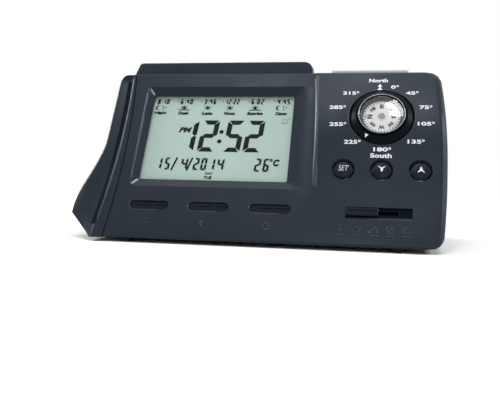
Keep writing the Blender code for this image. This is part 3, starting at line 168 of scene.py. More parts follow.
def moulded(name, colour, roughness, grain, depth, specular=0.2, tint="ffffff", mottle=0.06,
            gloss_swing=0.05):
    """Injection-moulded plastic; the grain's size and depth are in millimetres."""
    material, tree, shader = new_material(name, {
        "Specular IOR Level": specular, "Specular Tint": linear(tint)})
    place = own_place(tree)
    pebble = add_node(tree, "ShaderNodeTexNoise", {}, {
        "Vector": place, "Scale": 1 / (grain * MM), "Detail": 2.0, "Roughness": 0.6})
    cloud = add_node(tree, "ShaderNodeTexNoise", {}, {
        "Vector": place, "Scale": 1 / (CLOUD_SIZE * MM), "Detail": 3.0})
    base = linear(colour)
    tone = add_node(tree, "ShaderNodeMix", {"data_type": "RGBA"}, {"Factor": cloud.outputs["Fac"]})
    tone.inputs["A"].default_value = tinted(base, -mottle)
    tone.inputs["B"].default_value = tinted(base, mottle)
    gloss = add_node(tree, "ShaderNodeMapRange", {}, {
        "Value": cloud.outputs["Fac"], "From Min": 0.3, "From Max": 0.7,
        "To Min": roughness - gloss_swing, "To Max": roughness + gloss_swing})
    bump = add_node(tree, "ShaderNodeBump", {}, {
        "Height": pebble.outputs["Fac"], "Strength": 1.0, "Distance": depth * MM})
    tree.links.new(tone.outputs["Result"], shader.inputs["Base Color"])
    tree.links.new(gloss.outputs["Result"], shader.inputs["Roughness"])
    tree.links.new(bump.outputs["Normal"], shader.inputs["Normal"])
    return material


shell_abs = moulded("abs_slate_spark_eroded", "1e262c", 0.33, 0.40, 0.006, specular=0.18, tint=COOL_SHEEN)
bar_abs = moulded("abs_slate_dull_moulded", "1e262d", 0.40, 0.40, 0.006, specular=0.06, tint=COOL_SHEEN)
edge_abs = moulded("abs_slate_polished_edge", "1e262d", 0.18, 0.40, 0.001, specular=0.45, tint=COOL_SHEEN,
                   gloss_swing=0.02)
key_abs = moulded("abs_black_fine_grained", "181c21", 0.30, 0.35, 0.005, specular=0.10, tint=COOL_SHEEN)
ring_abs = moulded("abs_black_satin", "0b1111", 0.36, 0.30, 0.003, specular=0.04, tint=COOL_SHEEN)
pale_abs = moulded("abs_pale_grey_fine_grained", "e2e5e9", 0.45, 0.35, 0.004, specular=0.08, mottle=0.02)
crease_abs = moulded("abs_slate_rubbed", "1e262d", 0.30, 0.40, 0.001, specular=0.60, tint=COOL_SHEEN,
                     gloss_swing=0.02)
# Matt black: the real colour of the slide switch and the compass cup, and also used as painted shade.
black_abs_and_painted_shade = moulded("abs_black_matt_and_painted_shade", "0d1418", 0.60, 0.40, 0.006, specular=0.02, tint="c8d4ff")
rubber = moulded("nitrile_rubber_moulded", "16171a", 0.75, 0.40, 0.015, specular=0.15)
cone_paper = moulded("paper_pressed_cone", "1d1c1b", 0.85, 0.50, 0.020, specular=0.1)
diffuser = moulded("acrylic_light_guide", "e6ece8", 0.45, 0.60, 0.003, mottle=0.02)
hub_zinc = moulded("zinc_die_cast_satin", "8d9092", 0.38, 0.25, 0.003, specular=0.5)

# %% [markdown]
# A circuit board is glass cloth in resin under a green solder mask. The woven cloth shows through
# as a faint check about half a millimetre wide, so two crossed waves darken the green.

# %% Circuit-board laminate
board_resin, board_tree, board_shader = new_material("glass_cloth_laminate_green_masked", {
    "Roughness": 0.38, "Specular IOR Level": 0.4})
WEAVE_SCALE = 3.2
board_place = own_place(board_tree)
weave = [add_node(board_tree, "ShaderNodeTexWave", {"bands_direction": direction}, {
    "Vector": board_place, "Scale": 1 / (WEAVE_SCALE * MM)}) for direction in ("X", "Z")]
check = add_node(board_tree, "ShaderNodeMath", {"operation": "MULTIPLY"}, {
    0: weave[0].outputs["Fac"], 1: weave[1].outputs["Fac"]})
board_tone = add_node(board_tree, "ShaderNodeMix", {"data_type": "RGBA"}, {"Factor": check.outputs[0]})
board_tone.inputs["A"].default_value = linear("143f25")
board_tone.inputs["B"].default_value = linear("1d5531")
board_tree.links.new(board_tone.outputs["Result"], board_shader.inputs["Base Color"])

# %% [markdown]
# Zinc-plated steel is a metal: its colour is in the reflection. The tumbling drum leaves very fine
# scratches that make it satin, so its roughness varies with a small noise.

# %% Plated steel
plated_steel, steel_tree, steel_shader = new_material("steel_zinc_plated", {
    "Metallic": 1.0, "Base Color": linear("b4b8bc")})
uneven_gloss(steel_tree, steel_shader, 0.4, 0.2, 0.42)

# %% [markdown]
# The display window and the compass lens are clear acrylic. The window is flat and lies close to
# the display, so it only adds a faint film: a see-through coat is enough and renders clean. The
# lens is domed, so it is real refracting acrylic, which bends and catches the light.

# %% Clear acrylic
window_acrylic, window_tree, window_shader = new_material("acrylic_sheet_clear", {
    "Base Color": linear("9fb0ac"), "Alpha": 0.015, "Specular IOR Level": 0.2})
lens_acrylic, lens_tree, lens_shader = new_material("acrylic_lens_polished", {
    "Base Color": linear("ffffff"), "Transmission Weight": 1.0, "IOR": 1.49})
SMEAR_SIZE = 9.0
SMEAR_START = 0.45
uneven_gloss(window_tree, window_shader, SMEAR_SIZE, 0.30, 0.36, SMEAR_START)
uneven_gloss(lens_tree, lens_shader, SMEAR_SIZE, 0.0, 0.02, SMEAR_START)

# %% [markdown]
# A reflective liquid-crystal panel looks like pale green-grey paper under a polariser film. What
# it shows, and the white legends on the case, are thin opaque layers. Pad-printed ink is never
# quite even, so a small cloud of noise shifts its tone.

# %% Display film and inks
def layer(name, colour, roughness=0.55, specular=0.3, cloud_size=1.2):
    """A thin opaque layer, such as pad-printed ink."""
    material, tree, shader = new_material(name, {"Roughness": roughness, "Specular IOR Level": specular})
    place = own_place(tree)
    cloud = add_node(tree, "ShaderNodeTexNoise", {}, {"Vector": place, "Scale": 1 / (cloud_size * MM)})
    tone = add_node(tree, "ShaderNodeMix", {"data_type": "RGBA"}, {"Factor": cloud.outputs["Fac"]})
    tone.inputs["A"].default_value = tinted(linear(colour), -0.06)
    tone.inputs["B"].default_value = tinted(linear(colour), 0.04)
    tree.links.new(tone.outputs["Result"], shader.inputs["Base Color"])
    return material


lcd_film = moulded("polariser_film_over_glass", "adc2bb", 0.5, 0.5, 0.001, specular=0.1, mottle=0.015)
lcd_segment = layer("liquid_crystal_segment", "070807", specular=0.05)
lcd_faint = layer("liquid_crystal_segment_off", "84948e", specular=0.1)
white_ink = layer("ink_pad_printed_white", "eef0f2")
grey_ink = layer("ink_pad_printed_light_grey", "c4c8cc")
black_ink = layer("ink_pad_printed_black", "0c0d0e")
red_ink = layer("ink_pad_printed_red", "b23a35")
card_stock = layer("polystyrene_card_printed", "f1f2f1", roughness=0.45)

# %% [markdown]
# A dry cell is a steel can in a shrink sleeve. The sleeve here is plain dark green with a silver
# band at its positive end. The band's edge is a step in the distance along the cell, so it is as
# sharp as print.

# %% Cell sleeve
BAND_END = 7.0
cell_sleeve = moulded("pvc_shrink_sleeve_green", "1d3a34", 0.30, 0.60, 0.003, specular=0.4)
cell_tree = cell_sleeve.node_tree
cell_along = add_node(cell_tree, "ShaderNodeSeparateXYZ", {}, {
    0: own_place(cell_tree)})
in_band = add_node(cell_tree, "ShaderNodeMath", {"operation": "LESS_THAN"}, {
    0: cell_along.outputs["X"], 1: BAND_END * MM})
cell_shader = cell_tree.nodes["Principled BSDF"]
sleeve_tone = cell_shader.inputs["Base Color"].links[0].from_socket
cell_tone = add_node(cell_tree, "ShaderNodeMix", {"data_type": "RGBA"}, {
    "Factor": in_band.outputs[0], "A": sleeve_tone})
cell_tone.inputs["B"].default_value = linear("a3a7aa")
cell_tree.links.new(cell_tone.outputs["Result"], cell_shader.inputs["Base Color"])

# %% [markdown]
# Each node of the frame gets the finish of the real part. A table pairs them, and one loop swaps
# the materials.

# %% Finishes on the frame's own parts
FINISHES = (
    (shell_abs, ("front_case", "rear_case", "left_cheek", "battery_cover")),
    (bar_abs, ("snooze_bar",)),
    (key_abs, ("left_key", "middle_key", "right_key", "set_button", "down_button", "up_button",
               "slide_knob")),
    (black_abs_and_painted_shade, ("slide_switch", "compass_cup")),
    (ring_abs, ("compass_ring",)),
    (pale_abs, ("light_key",)),
    (window_acrylic, ("display_window",)),
    (lens_acrylic, ("compass_lens",)),
    (lcd_film, ("lcd_panel",)),
    (diffuser, ("backlight_panel",)),
    (card_stock, ("compass_card",)),
    (board_resin, ("main_board", "key_board", "top_board")),
    (cell_sleeve, ("battery_1", "battery_2", "battery_3")),
    (cone_paper, ("speaker_cone",)),
    (rubber, ("foot_front_left", "foot_front_right", "foot_rear_left", "foot_rear_right")),
    (plated_steel, ("contact_left", "contact_right", "speaker_basket", "compass_pivot",
                    "board_screw_1", "board_screw_2", "board_screw_3", "board_screw_4",
                    "board_screw_5", "board_screw_6", "case_screw_low_left", "case_screw_low_right",
                    "case_screw_high_left", "case_screw_high_right")),
)
for finish, names in FINISHES:
    for name in names:
        NODES[name].data.materials.clear()
        NODES[name].data.materials.append(finish)
print("finished nodes:", sum(len(names) for finish, names in FINISHES), "of", len(NODES))

# %% [markdown]
# The frame's meshes are plain facets. Real mouldings are smooth where the form flows, and have a
# small radius at each edge, because a mould can't be cut with sharp corners. A modifier does the
# first without touching the mesh: it joins the facets and shades them smooth, except where they
# meet at a clear edge. A bevel then rounds those edges, and that thin round catches the light.

# %% Smooth forms and small edge radii
CLEAR_EDGE = math.radians(20)
smooth_forms = bpy.data.node_groups.new("smooth_forms", "GeometryNodeTree")
for direction in ("INPUT", "OUTPUT"):
    smooth_forms.interface.new_socket("Geometry", in_out=direction, socket_type="NodeSocketGeometry")
joined = add_node(smooth_forms, "GeometryNodeMergeByDistance", {}, {
    "Geometry": add_node(smooth_forms, "NodeGroupInput").outputs[0], "Distance": MM / 1000})
plain = add_node(smooth_forms, "GeometryNodeRemoveAttribute", {}, {
    "Geometry": joined.outputs["Geometry"], "Name": "custom_normal"})
soft = add_node(smooth_forms, "GeometryNodeSetShadeSmooth", {"domain": "FACE"}, {
    "Geometry": plain.outputs["Geometry"]})
fold = add_node(smooth_forms, "GeometryNodeInputMeshEdgeAngle")
clear = add_node(smooth_forms, "FunctionNodeCompare", {"operation": "GREATER_THAN"}, {
    0: fold.outputs["Unsigned Angle"], 1: CLEAR_EDGE})
edged = add_node(smooth_forms, "GeometryNodeSetShadeSmooth", {"domain": "EDGE"}, {
    "Geometry": soft.outputs["Geometry"], "Selection": clear.outputs["Result"], "Shade Smooth": False})
add_node(smooth_forms, "NodeGroupOutput", {}, {0: edged.outputs["Geometry"]})

EDGE_RADII = {"front_case": 0.35, "rear_case": 0.3, "left_cheek": 0.4, "snooze_bar": 0.4,
              "battery_cover": 0.25, "left_key": 0.25, "middle_key": 0.25, "right_key": 0.25,
              "slide_knob": 0.2, "light_key": 0.3, "compass_ring": 0.3, "set_button": 0.3,
              "down_button": 0.3, "up_button": 0.3}
for name, node in NODES.items():
    node.modifiers.new("smooth_forms", "NODES").node_group = smooth_forms
    if name in EDGE_RADII:
        rounded = node.modifiers.new("edge_radius", "BEVEL")
        rounded.limit_method = "ANGLE"
        rounded.angle_limit = CLEAR_EDGE
        rounded.width = EDGE_RADII[name] * MM
        rounded.segments = 2
print("edges rounded on", len(EDGE_RADII), "parts")

# %% [markdown]
# Everything printed or shown is a thin layer with an outline. Each outline becomes a prism one
# unit thick, and a last step lays many of them on a surface as one piece.

# %% Outlines as thin solids
def prism(outline):
    """A flat outline of x and y as corners and faces, one unit thick."""
    turns = zip(outline, outline[1:] + outline[:1])
    if sum(a[0] * b[1] - b[0] * a[1] for a, b in turns) < 0:
        outline = outline[::-1]
    count = len(outline)
    corners = [(x, y, share) for share in (0, 1) for x, y in outline]
    triangles = tessellate_polygon([[Vector((x, y, 0)) for x, y in outline]])
    faces = []
    for triangle in triangles:
        a, b, c = [outline[i] for i in triangle]
        rises = (b[0] - a[0]) * (c[1] - a[1]) - (b[1] - a[1]) * (c[0] - a[0]) > 0
        upward = tuple(triangle) if rises else tuple(reversed(triangle))
        faces += [tuple(i + count for i in upward), tuple(reversed(upward))]
    for i in range(count):
        after = (i + 1) % count
        faces.append((i, after, after + count, i + count))
    return corners, faces


def new_object(name, data):
    """An object in the scene."""
    made = bpy.data.objects.new(name, data)
    bpy.context.scene.collection.objects.link(made)
    return made


def lay(name, solids, surface, lift, thickness, finish, body, place=on_face):
    """Lays thin solids on a surface as one piece that rides on a body."""
    corners = []
    faces = []
    for points, polygons in solids:
        start = len(corners)
        corners += [place(x, y, surface(x, y) + lift + share * thickness) for x, y, share in points]
        faces += [[start + i for i in polygon] for polygon in polygons]
    mesh = bpy.data.meshes.new(name)
    mesh.from_pydata(corners, [], faces)
    mesh.materials.append(finish)
    piece = new_object(name, mesh)
    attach(piece, body)
    print(name, "has", len(solids), "marks and", len(faces), "faces")
    return piece


def smooth(piece):
    """Shades all of a piece smooth."""
    for face in piece.data.polygons:
        face.use_smooth = True


# %% [markdown]
# Words are set in a plain sans serif. The text object gives a solid mesh straight away, and that
# is scaled to the width and height of the real legend and turned.

# %% Words
HALF_DEPTH = 0.5


def words(text, x, y, width, height, bold=0.015, slant=0.0, turn=0.0):
    """Words centred on a place, as corners and faces, one unit thick."""
    setting = bpy.data.curves.new("setting", "FONT")
    setting.body = text
    setting.offset = bold
    setting.shear = slant
    setting.extrude = HALF_DEPTH
    setting.resolution_u = 3
    setter = bpy.data.objects.new("setting", setting)
    mesh = bpy.data.meshes.new_from_object(setter)
    lows = [min(v.co[i] for v in mesh.vertices) for i in (0, 1)]
    highs = [max(v.co[i] for v in mesh.vertices) for i in (0, 1)]
    middles = [(low + high) / 2 for low, high in zip(lows, highs)]
    scales = [width / (highs[0] - lows[0]), height / (highs[1] - lows[1])]
    cos, sin = math.cos(turn), math.sin(turn)
    corners = []
    for v in mesh.vertices:
        right = (v.co.x - middles[0]) * scales[0]
        rise = (v.co.y - middles[1]) * scales[1]
        corners.append((x + right * cos - rise * sin, y + right * sin + rise * cos, v.co.z + HALF_DEPTH))
    faces = [tuple(p.vertices) for p in mesh.polygons]
    bpy.data.objects.remove(setter)
    bpy.data.curves.remove(setting)
    bpy.data.meshes.remove(mesh)
    return corners, faces


# %% [markdown]
# The display's figures have seven segments each, mitred where they meet with a hair of glass
# between them, and the whole figure slants a little. Two segment outlines are enough: the others
# are their mirror images.

# %% Seven-segment figures
LIT = {"0": "abcdef", "1": "bc", "2": "abged", "3": "abgcd", "4": "fgbc", "5": "afgcd",
       "6": "afgedc", "7": "abc", "8": "abcdefg", "9": "abcdfg"}
SLANT = 0.07


def figure(sign, left, low, width, height, stroke, gap):
    """The lit segments of one figure as outlines."""
    half = height / 2
    blunt = 0.22 * stroke
    bar = [(gap + blunt, half), (width - gap - blunt, half),
           (width - gap - stroke, half - stroke), (gap + stroke, half - stroke)]
    post = [(width, half - gap - blunt), (width, gap + 0.2 * stroke), (width - stroke / 2, gap),
            (width - stroke, gap + stroke / 2), (width - stroke, half - gap - stroke)]
    middle = [(gap + stroke / 2, 0), (gap + stroke, stroke / 2), (width - gap - stroke, stroke / 2),
              (width - gap - stroke / 2, 0), (width - gap - stroke, -stroke / 2),
              (gap + stroke, -stroke / 2)]
    shapes = {"a": bar, "b": post, "g": middle, "c": [(x, -y) for x, y in post],
              "d": [(x, -y) for x, y in bar], "e": [(width - x, -y) for x, y in post],
              "f": [(width - x, y) for x, y in post]}
    return [[(left + x + SLANT * (y + half), low + half + y) for x, y in shapes[letter]]
            for letter in LIT[sign]]


def arc(x, y, radius, start, stop, steps):
    """Places on a part of a circle, in degrees."""
    turns = [math.radians(start + (stop - start) * i / steps) for i in range(steps + 1)]
    return [(x + radius * math.cos(turn), y + radius * math.sin(turn)) for turn in turns]


def disc(x, y, radius, steps=14):
    return arc(x, y, radius, 0, 360, steps)[:-1]


def block(left, low, right, high):
    """An upright rectangle."""
    return [(left, low), (right, low), (right, high), (left, high)]


def stroke_between(x0, y0, x1, y1, width):
    """A straight line with square ends."""
    along = Vector((x1 - x0, y1 - y0)).normalized()
    side = Vector((-along.y, along.x)) * width / 2
    return [(x0 + side.x, y0 + side.y), (x0 - side.x, y0 - side.y),
            (x1 - side.x, y1 - side.y), (x1 + side.x, y1 + side.y)]


def hoop(x, y, radius, width, start=0, stop=360, steps=16):
    """A round line as short pieces, between two angles in degrees."""
    inner, outer = [arc(x, y, radius + side * width / 2, start, stop, steps) for side in (-1, 1)]
    return [[inner[i], outer[i], outer[i + 1], inner[i + 1]] for i in range(steps)]


def crescent(x, y, radius, bite=0.45):
    """A moon: a disc less a second, smaller disc to its right."""
    back = arc(x, y, radius, 60, 300, 14)
    hollow = arc(x + radius * bite, y, radius * 0.86, 285, 75, 12)
    return back + hollow[1:-1]


# %% [markdown]
# The big time fills the middle of the display: figures 21 mm tall with two round dots between the
# hours and minutes.

# %% The time
TIME_LOW = -8.6
TIME_HEIGHT = 21.1
FIGURE_WIDTH = 10.1
BIG_STROKE = 2.85
BIG_GAP = 0.05
time_marks = []
for sign, left in (("1", -24.2), ("2", -11.9), ("5", 3.2), ("2", 14.9)):
    time_marks += figure(sign, left, TIME_LOW, FIGURE_WIDTH, TIME_HEIGHT, BIG_STROKE, BIG_GAP)
time_marks += [disc(1.3, 4.7, 1.3), disc(0.8, -1.7, 1.3)]
display_surface = level(LCD_FRONT)
INK_LIFT = 0.02
SEGMENT_THICKNESS = 0.05
lay("display_time", [prism(mark) for mark in time_marks] + [words("PM", -20.6, 5.9, 7.9, 3.6, 0.05, 0.3)],
    display_surface, INK_LIFT, SEGMENT_THICKNESS, lcd_segment, "clock_body")

# %% [markdown]
# Under it stand the date and the temperature, in narrower figures with a thinner stroke, and the
# day of the week in tiny letters.

# %% Date, day and temperature
DATE_LOW = -20.8
DATE_HEIGHT = 7.9
DATE_STROKE = 1.25
DATE_GAP = 0.03
date_marks = []
for sign, left, width in (("1", -34.6, 3.2), ("5", -29.8, 3.2), ("4", -20.0, 3.9), ("2", -12.7, 3.3),
                          ("0", -8.3, 3.4), ("1", -3.4, 3.2), ("4", 1.2, 3.9)):
    date_marks += figure(sign, left, DATE_LOW, width, DATE_HEIGHT, DATE_STROKE, DATE_GAP)
for left in (-25.1, -16.0):
    date_marks.append(stroke_between(left, -21.2, left + 2.6, -12.8, 1.05))
for sign, left, width in (("2", 22.7, 3.5), ("6", 27.5, 3.4)):
    date_marks += figure(sign, left, -21.0, width, 8.4, DATE_STROKE, DATE_GAP)
date_marks += hoop(32.1, -13.6, 0.6, 0.7, steps=10)
small_words = [words("C", 35.1, -15.2, 3.6, 4.5, 0.06, 0.15), words("TUE", -3.0, -25.4, 4.6, 1.9, 0.05),
               words("DAY", -2.6, -22.8, 4.4, 1.4, 0.05)]
lay("display_date", [prism(mark) for mark in date_marks] + small_words, display_surface, INK_LIFT,
    SEGMENT_THICKNESS, lcd_segment, "clock_body")

# %% [markdown]
# Along the top run six small times, one for each part of the day. Each has a sign for its sky
# (moon, low sun or high sun) and a plain word under it.

# %% Six times along the top
SMALL_LOW = 23.8
SMALL_HEIGHT = 3.8
SMALL_STROKE = 1.0
SMALL_GAP = 0.02
SIGN_UP = 21.3
WORD_UP = 17.5
COLON_WIDTH = 0.45
STARS = ((1.2, 0.9), (2.9, 0.2), (1.6, -0.8))
GROUPS = (("8:10", -40.9, -33.0, "moon", "Night"), ("6:40", -26.6, -18.4, "low", "Dusk"),
          ("3:46", -12.1, -4.0, "sun", "Late"), ("12:22", 0.9, 10.0, "sun", "Noon"),
          ("6:02", 16.6, 24.7, "low", "Sunrise"), ("4:45", 32.0, 40.1, "moon", "Dawn"))
row_marks = []
row_words = []
for text, left, right, sky, word in GROUPS:
    share = (right - left) / sum(COLON_WIDTH if sign == ":" else 1.0 for sign in text)
    x = left
    for sign in text:
        if sign == ":":
            row_marks += [disc(x + share * 0.3, SMALL_LOW + SMALL_HEIGHT * up, 0.3, 8) for up in (0.3, 0.68)]
            x += share * COLON_WIDTH
        else:
            row_marks += figure(sign, x, SMALL_LOW, share * 0.78, SMALL_HEIGHT, SMALL_STROKE, SMALL_GAP)
            x += share
    row_marks.append(stroke_between(left - 1.7, SMALL_LOW + 1.9, left - 0.7, SMALL_LOW + 2.2, 0.5))
    middle = (left + right) / 2 - 1.2
    if sky == "moon":
        row_marks += [crescent(middle - 1.6, SIGN_UP, 1.6)]
        row_marks += [disc(middle + x, SIGN_UP + y, 0.5, 6) for x, y in STARS]
    else:
        row_marks.append(disc(middle, SIGN_UP, 1.05, 10))
        row_marks += [stroke_between(middle + 1.3 * math.cos(turn), SIGN_UP + 1.2 * math.sin(turn),
                                     middle + 2.2 * math.cos(turn), SIGN_UP + 1.7 * math.sin(turn), 0.45)
                      for turn in [math.radians(45 * i) for i in range(8)]]
    if sky == "low":
        row_marks.append(stroke_between(middle - 3.6, SIGN_UP - 1.5, middle + 3.6, SIGN_UP - 1.5, 0.55))
    row_words.append(words(word, middle + 0.2, WORD_UP, 0.95 * len(word) + 2.8, 2.3, 0.07, 0.1))
lay("display_small_times", [prism(mark) for mark in row_marks] + row_words, display_surface, INK_LIFT,
    SEGMENT_THICKNESS, lcd_segment, "clock_body")

# %% [markdown]
# A segment that is switched off still shows as a grey ghost. One does so here: the alarm bell at
# the display's right.

# %% The bell that is switched off
BELL_X = 37.6
BELL_UP = 12.1
bell = [(BELL_X - 1.9, BELL_UP - 1.2), (BELL_X + 1.9, BELL_UP - 1.2), (BELL_X + 1.3, BELL_UP - 0.5),
        (BELL_X + 1.0, BELL_UP + 1.0), (BELL_X, BELL_UP + 1.8), (BELL_X - 1.0, BELL_UP + 1.0),
        (BELL_X - 1.3, BELL_UP - 0.5)]
ghost = [stroke_between(*a, *b, 0.4) for a, b in zip(bell, bell[1:] + bell[:1])]
ghost += hoop(BELL_X + 1.9, BELL_UP + 1.4, 0.9, 0.35, -60, 110, 6) + [disc(BELL_X, BELL_UP - 1.7, 0.35, 8)]
lay("display_bell", [prism(mark) for mark in ghost], display_surface, INK_LIFT, SEGMENT_THICKNESS,
    lcd_faint, "clock_body")

# %% [markdown]
# White legends are pad printed round the compass: the word North over an arrow, bearings in
# degrees beside the ring, and South below. Ink lies a few hundredths of a millimetre thick on the
# panel and follows its bulge.

# %% Bearings round the compass
INK_THICKNESS = 0.05
PRINT_LIFT = 0.03
LEGENDS = (
    ("North", 90.0, 36.0, 10.4, 2.7), ("South", 92.2, -13.0, 11.4, 2.6),
    ("0", 98.2, 31.2, 2.6, 2.5), ("315", 74.1, 26.8, 7.2, 2.4), ("45", 107.6, 26.8, 5.2, 2.4),
    ("285", 67.0, 16.8, 7.4, 2.4), ("75", 114.8, 16.9, 5.2, 2.4), ("255", 67.6, 5.6, 7.4, 2.4),
    ("105", 114.9, 6.3, 7.2, 2.4), ("225", 75.9, -5.2, 7.2, 2.4), ("135", 109.6, -4.6, 7.2, 2.4),
    ("180", 91.9, -9.4, 7.6, 2.4),
)
legends = [words(text, x, y, width, height, 0.028) for text, x, y, width, height in LEGENDS]
degrees = []
for text, x, y, width, height in LEGENDS[2:]:
    degrees += hoop(x + width / 2 + 1.0, y + height / 2 - 0.6, 0.5, 0.4, steps=10)
arrow = [[(89.5, 29.0), (92.1, 29.0), (92.1, 29.7), (91.3, 30.2), (91.2, 31.4), (92.1, 31.4), (90.8, 33.6),
          (89.5, 31.4), (90.4, 31.4), (90.3, 30.2), (89.5, 29.7)]]
lay("compass_bearings", legends + [prism(mark) for mark in arrow + degrees], shell_surface, PRINT_LIFT,
    INK_THICKNESS, white_ink, "clock_body")

# %% [markdown]
# The round buttons carry their legends on the dome: a thin slanted SET, and two notched
# arrowheads.

# %% Button legends
BUTTON_UP = -21.5
lay("set_legend", [words("SET", 72.7, BUTTON_UP + 0.6, 5.5, 3.3, 0.0, 0.25)], surface_of("set_button"),
    PRINT_LIFT, INK_THICKNESS, grey_ink, "set_button")
for name, x, side in (("down_button", 92.8, -1), ("up_button", 113.1, 1)):
    head = [(x, BUTTON_UP + 0.5 + side * 1.9), (x + 1.95, BUTTON_UP + 0.5 - side * 1.9),
            (x, BUTTON_UP + 0.5 - side * 0.7), (x - 1.95, BUTTON_UP + 0.5 - side * 1.9)]
    lay(name.replace("button", "arrow"), [prism(head)], surface_of(name), PRINT_LIFT,
        INK_THICKNESS, white_ink, name)

# %% [markdown]
# The compass card is a white disc that swings on a pin. Round its edge is a black band, then come
# ticks every five degrees, the four letters with their tops outwards, the pairs between them, and
# a red triangle at north.

# %% Compass card print
DIAL_X = 92.1
DIAL_UP = 10.9
CARD_TOP = 2.3
NORTH = math.radians(180)


def on_dial(radius, turn):
    return DIAL_X + radius * math.cos(turn), DIAL_UP + radius * math.sin(turn)


TICK_END = 10.1
QUARTER_TURN = math.radians(90)
CARD_LETTERS = (
    ("N", 0, 6.3, 2.6, 2.9), ("E", 2, 6.5, 2.1, 2.6), ("S", 4, 6.3, 2.2, 2.6), ("W", 6, 6.5, 3.2, 2.5),
    ("NE", 1, 6.7, 3.3, 2.1), ("SE", 3, 6.7, 3.3, 2.1), ("SW", 5, 6.7, 3.5, 2.1), ("NW", 7, 6.7, 3.5, 2.1))
card_marks = []
for i in range(72):
    turn = math.radians(5 * i)
    tick_start, tick_width = (8.7, 0.38) if i % 2 == 0 else (9.5, 0.24)
    card_marks.append(stroke_between(*on_dial(tick_start, turn), *on_dial(TICK_END, turn), tick_width))
card_marks += hoop(DIAL_X, DIAL_UP, 10.62, 1.16, steps=48)
card_words = []
for text, steps, radius, width, height in CARD_LETTERS:
    turn = NORTH - math.radians(45 * steps)
    card_words.append(words(text, *on_dial(radius, turn), width, height, 0.06, 0.0, turn - QUARTER_TURN))
card_surface = level(CARD_TOP)
lay("card_scale", [prism(mark) for mark in card_marks] + card_words, card_surface, INK_LIFT,
    INK_THICKNESS, black_ink, "compass_card")
north_mark = [on_dial(9.4, NORTH), on_dial(8.1, NORTH + 0.1), on_dial(8.1, NORTH - 0.1)]
lay("card_north", [prism(north_mark)], card_surface, INK_LIFT + INK_THICKNESS, INK_THICKNESS, red_ink,
    "compass_card")

# %% [markdown]
# Round parts of the compass are turned from a profile: the card's metal hub cap, the bright rim
# round the lens, and a thin edge where the ring meets the panel. Each profile is a list of radius
# and height, swept round the dial's axis.

# %% Turned trims
def turned_trim(name, profile, surface, finish, body, steps=64):
    """A closed profile of radius and height over a surface, swept round the dial's axis."""
    mesh = bpy.data.meshes.new(name)
    solid = bmesh.new()
    rings = []
    for i in range(steps):
        turn = 2 * math.pi * i / steps
        places = [(*on_dial(radius, turn), height) for radius, height in profile]
        rings.append([solid.verts.new(on_face(x, y, surface(x, y) + height)) for x, y, height in places])
    for ring, after in zip(rings, rings[1:] + rings[:1]):
        for j in range(len(profile)):
            k = (j + 1) % len(profile)
            solid.faces.new((ring[j], after[j], after[k], ring[k]))
    bmesh.ops.recalc_face_normals(solid, faces=solid.faces)
    solid.to_mesh(mesh)
    solid.free()
    mesh.materials.append(finish)
    piece = new_object(name, mesh)
    smooth(piece)
    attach(piece, body)
    print(name, "has", steps, "sides")


rim_plate, rim_tree, rim_shader = new_material("abs_chrome_plated_satin", {
    "Metallic": 1.0, "Base Color": linear("666c74")})
uneven_gloss(rim_tree, rim_shader, 2.5, 0.18, 0.34)
RIM_PROFILE = [(12.05, 6.28), (12.05, 6.45), (12.25, 6.62), (12.6, 6.62), (12.82, 6.45), (12.82, 6.28)]
CAP_PROFILE = [(0.3, 3.02), (0.3, 3.12), (0.9, 3.3), (1.5, 3.3), (1.8, 3.15), (1.8, 3.02)]
SEAT_PROFILE = [(17.8, -0.05), (17.8, 0.1), (17.95, 0.25), (18.15, 0.25), (18.3, 0.1), (18.3, -0.05)]
turned_trim("cup_rim", RIM_PROFILE, level(0.0), rim_plate, "clock_body")
turned_trim("hub_cap", CAP_PROFILE, level(0.0), hub_zinc, "compass_card", 32)
turned_trim("ring_seat_bead", SEAT_PROFILE, shell_surface, edge_abs, "clock_body", 96)

# %% [markdown]
# A white triangle on the ring points at the chosen bearing. The ring's top is a cone, so the
# triangle is laid on it by ray, like the other print.

# %% Pointer on the turning ring
POINTER = math.radians(238)
pointer = [on_dial(16.4, POINTER), on_dial(14.6, POINTER + 0.07), on_dial(14.6, POINTER - 0.07)]
lay("ring_pointer", [prism(pointer)], surface_of("compass_ring"), PRINT_LIFT, INK_THICKNESS, white_ink,
    "compass_ring")

# %% [markdown]
# The display frame is mitred: its four slopes meet in valleys. A mould's valleys are rounded, and
# the two at the left pick up a lamp as a bright line. Each of those has a narrow chamfer of polished
# plastic, a straight chord from one slope to the other, so all of it faces the same way.

# %% Rounds in the frame's mitres
ROUND_REACH = 0.9
FRAME_CORNERS = ((-46.0, 32.9, -42.2, 28.1), (-46.0, -33.5, -42.2, -28.1))


def strip(stations, crown=0.0):
    """A band with one row of places at each station, one unit thick; a crown thins its two sides."""
    width = len(stations[0])
    corners = [(x, y, 0) for row in stations for x, y in row]
    for row in stations:
        corners += [(x, y, 1 - crown * (2 * j / (width - 1) - 1) ** 2) for j, (x, y) in enumerate(row)]
    count = width * len(stations)
    faces = []
    for i in range(len(stations) - 1):
        for j in range(width - 1):
            a, b, c, d = [i * width + j, i * width + j + 1, (i + 1) * width + j + 1, (i + 1) * width + j]
            faces += [(d, c, b, a), (a + count, b + count, c + count, d + count)]
    rim = list(range(width)) + [i * width + width - 1 for i in range(1, len(stations))]
    rim += [(len(stations) - 1) * width + j for j in range(width - 2, -1, -1)]
    rim += [i * width for i in range(len(stations) - 2, 0, -1)]
    faces += [(a, b, b + count, a + count) for a, b in zip(rim, rim[1:] + rim[:1])]
    return corners, faces


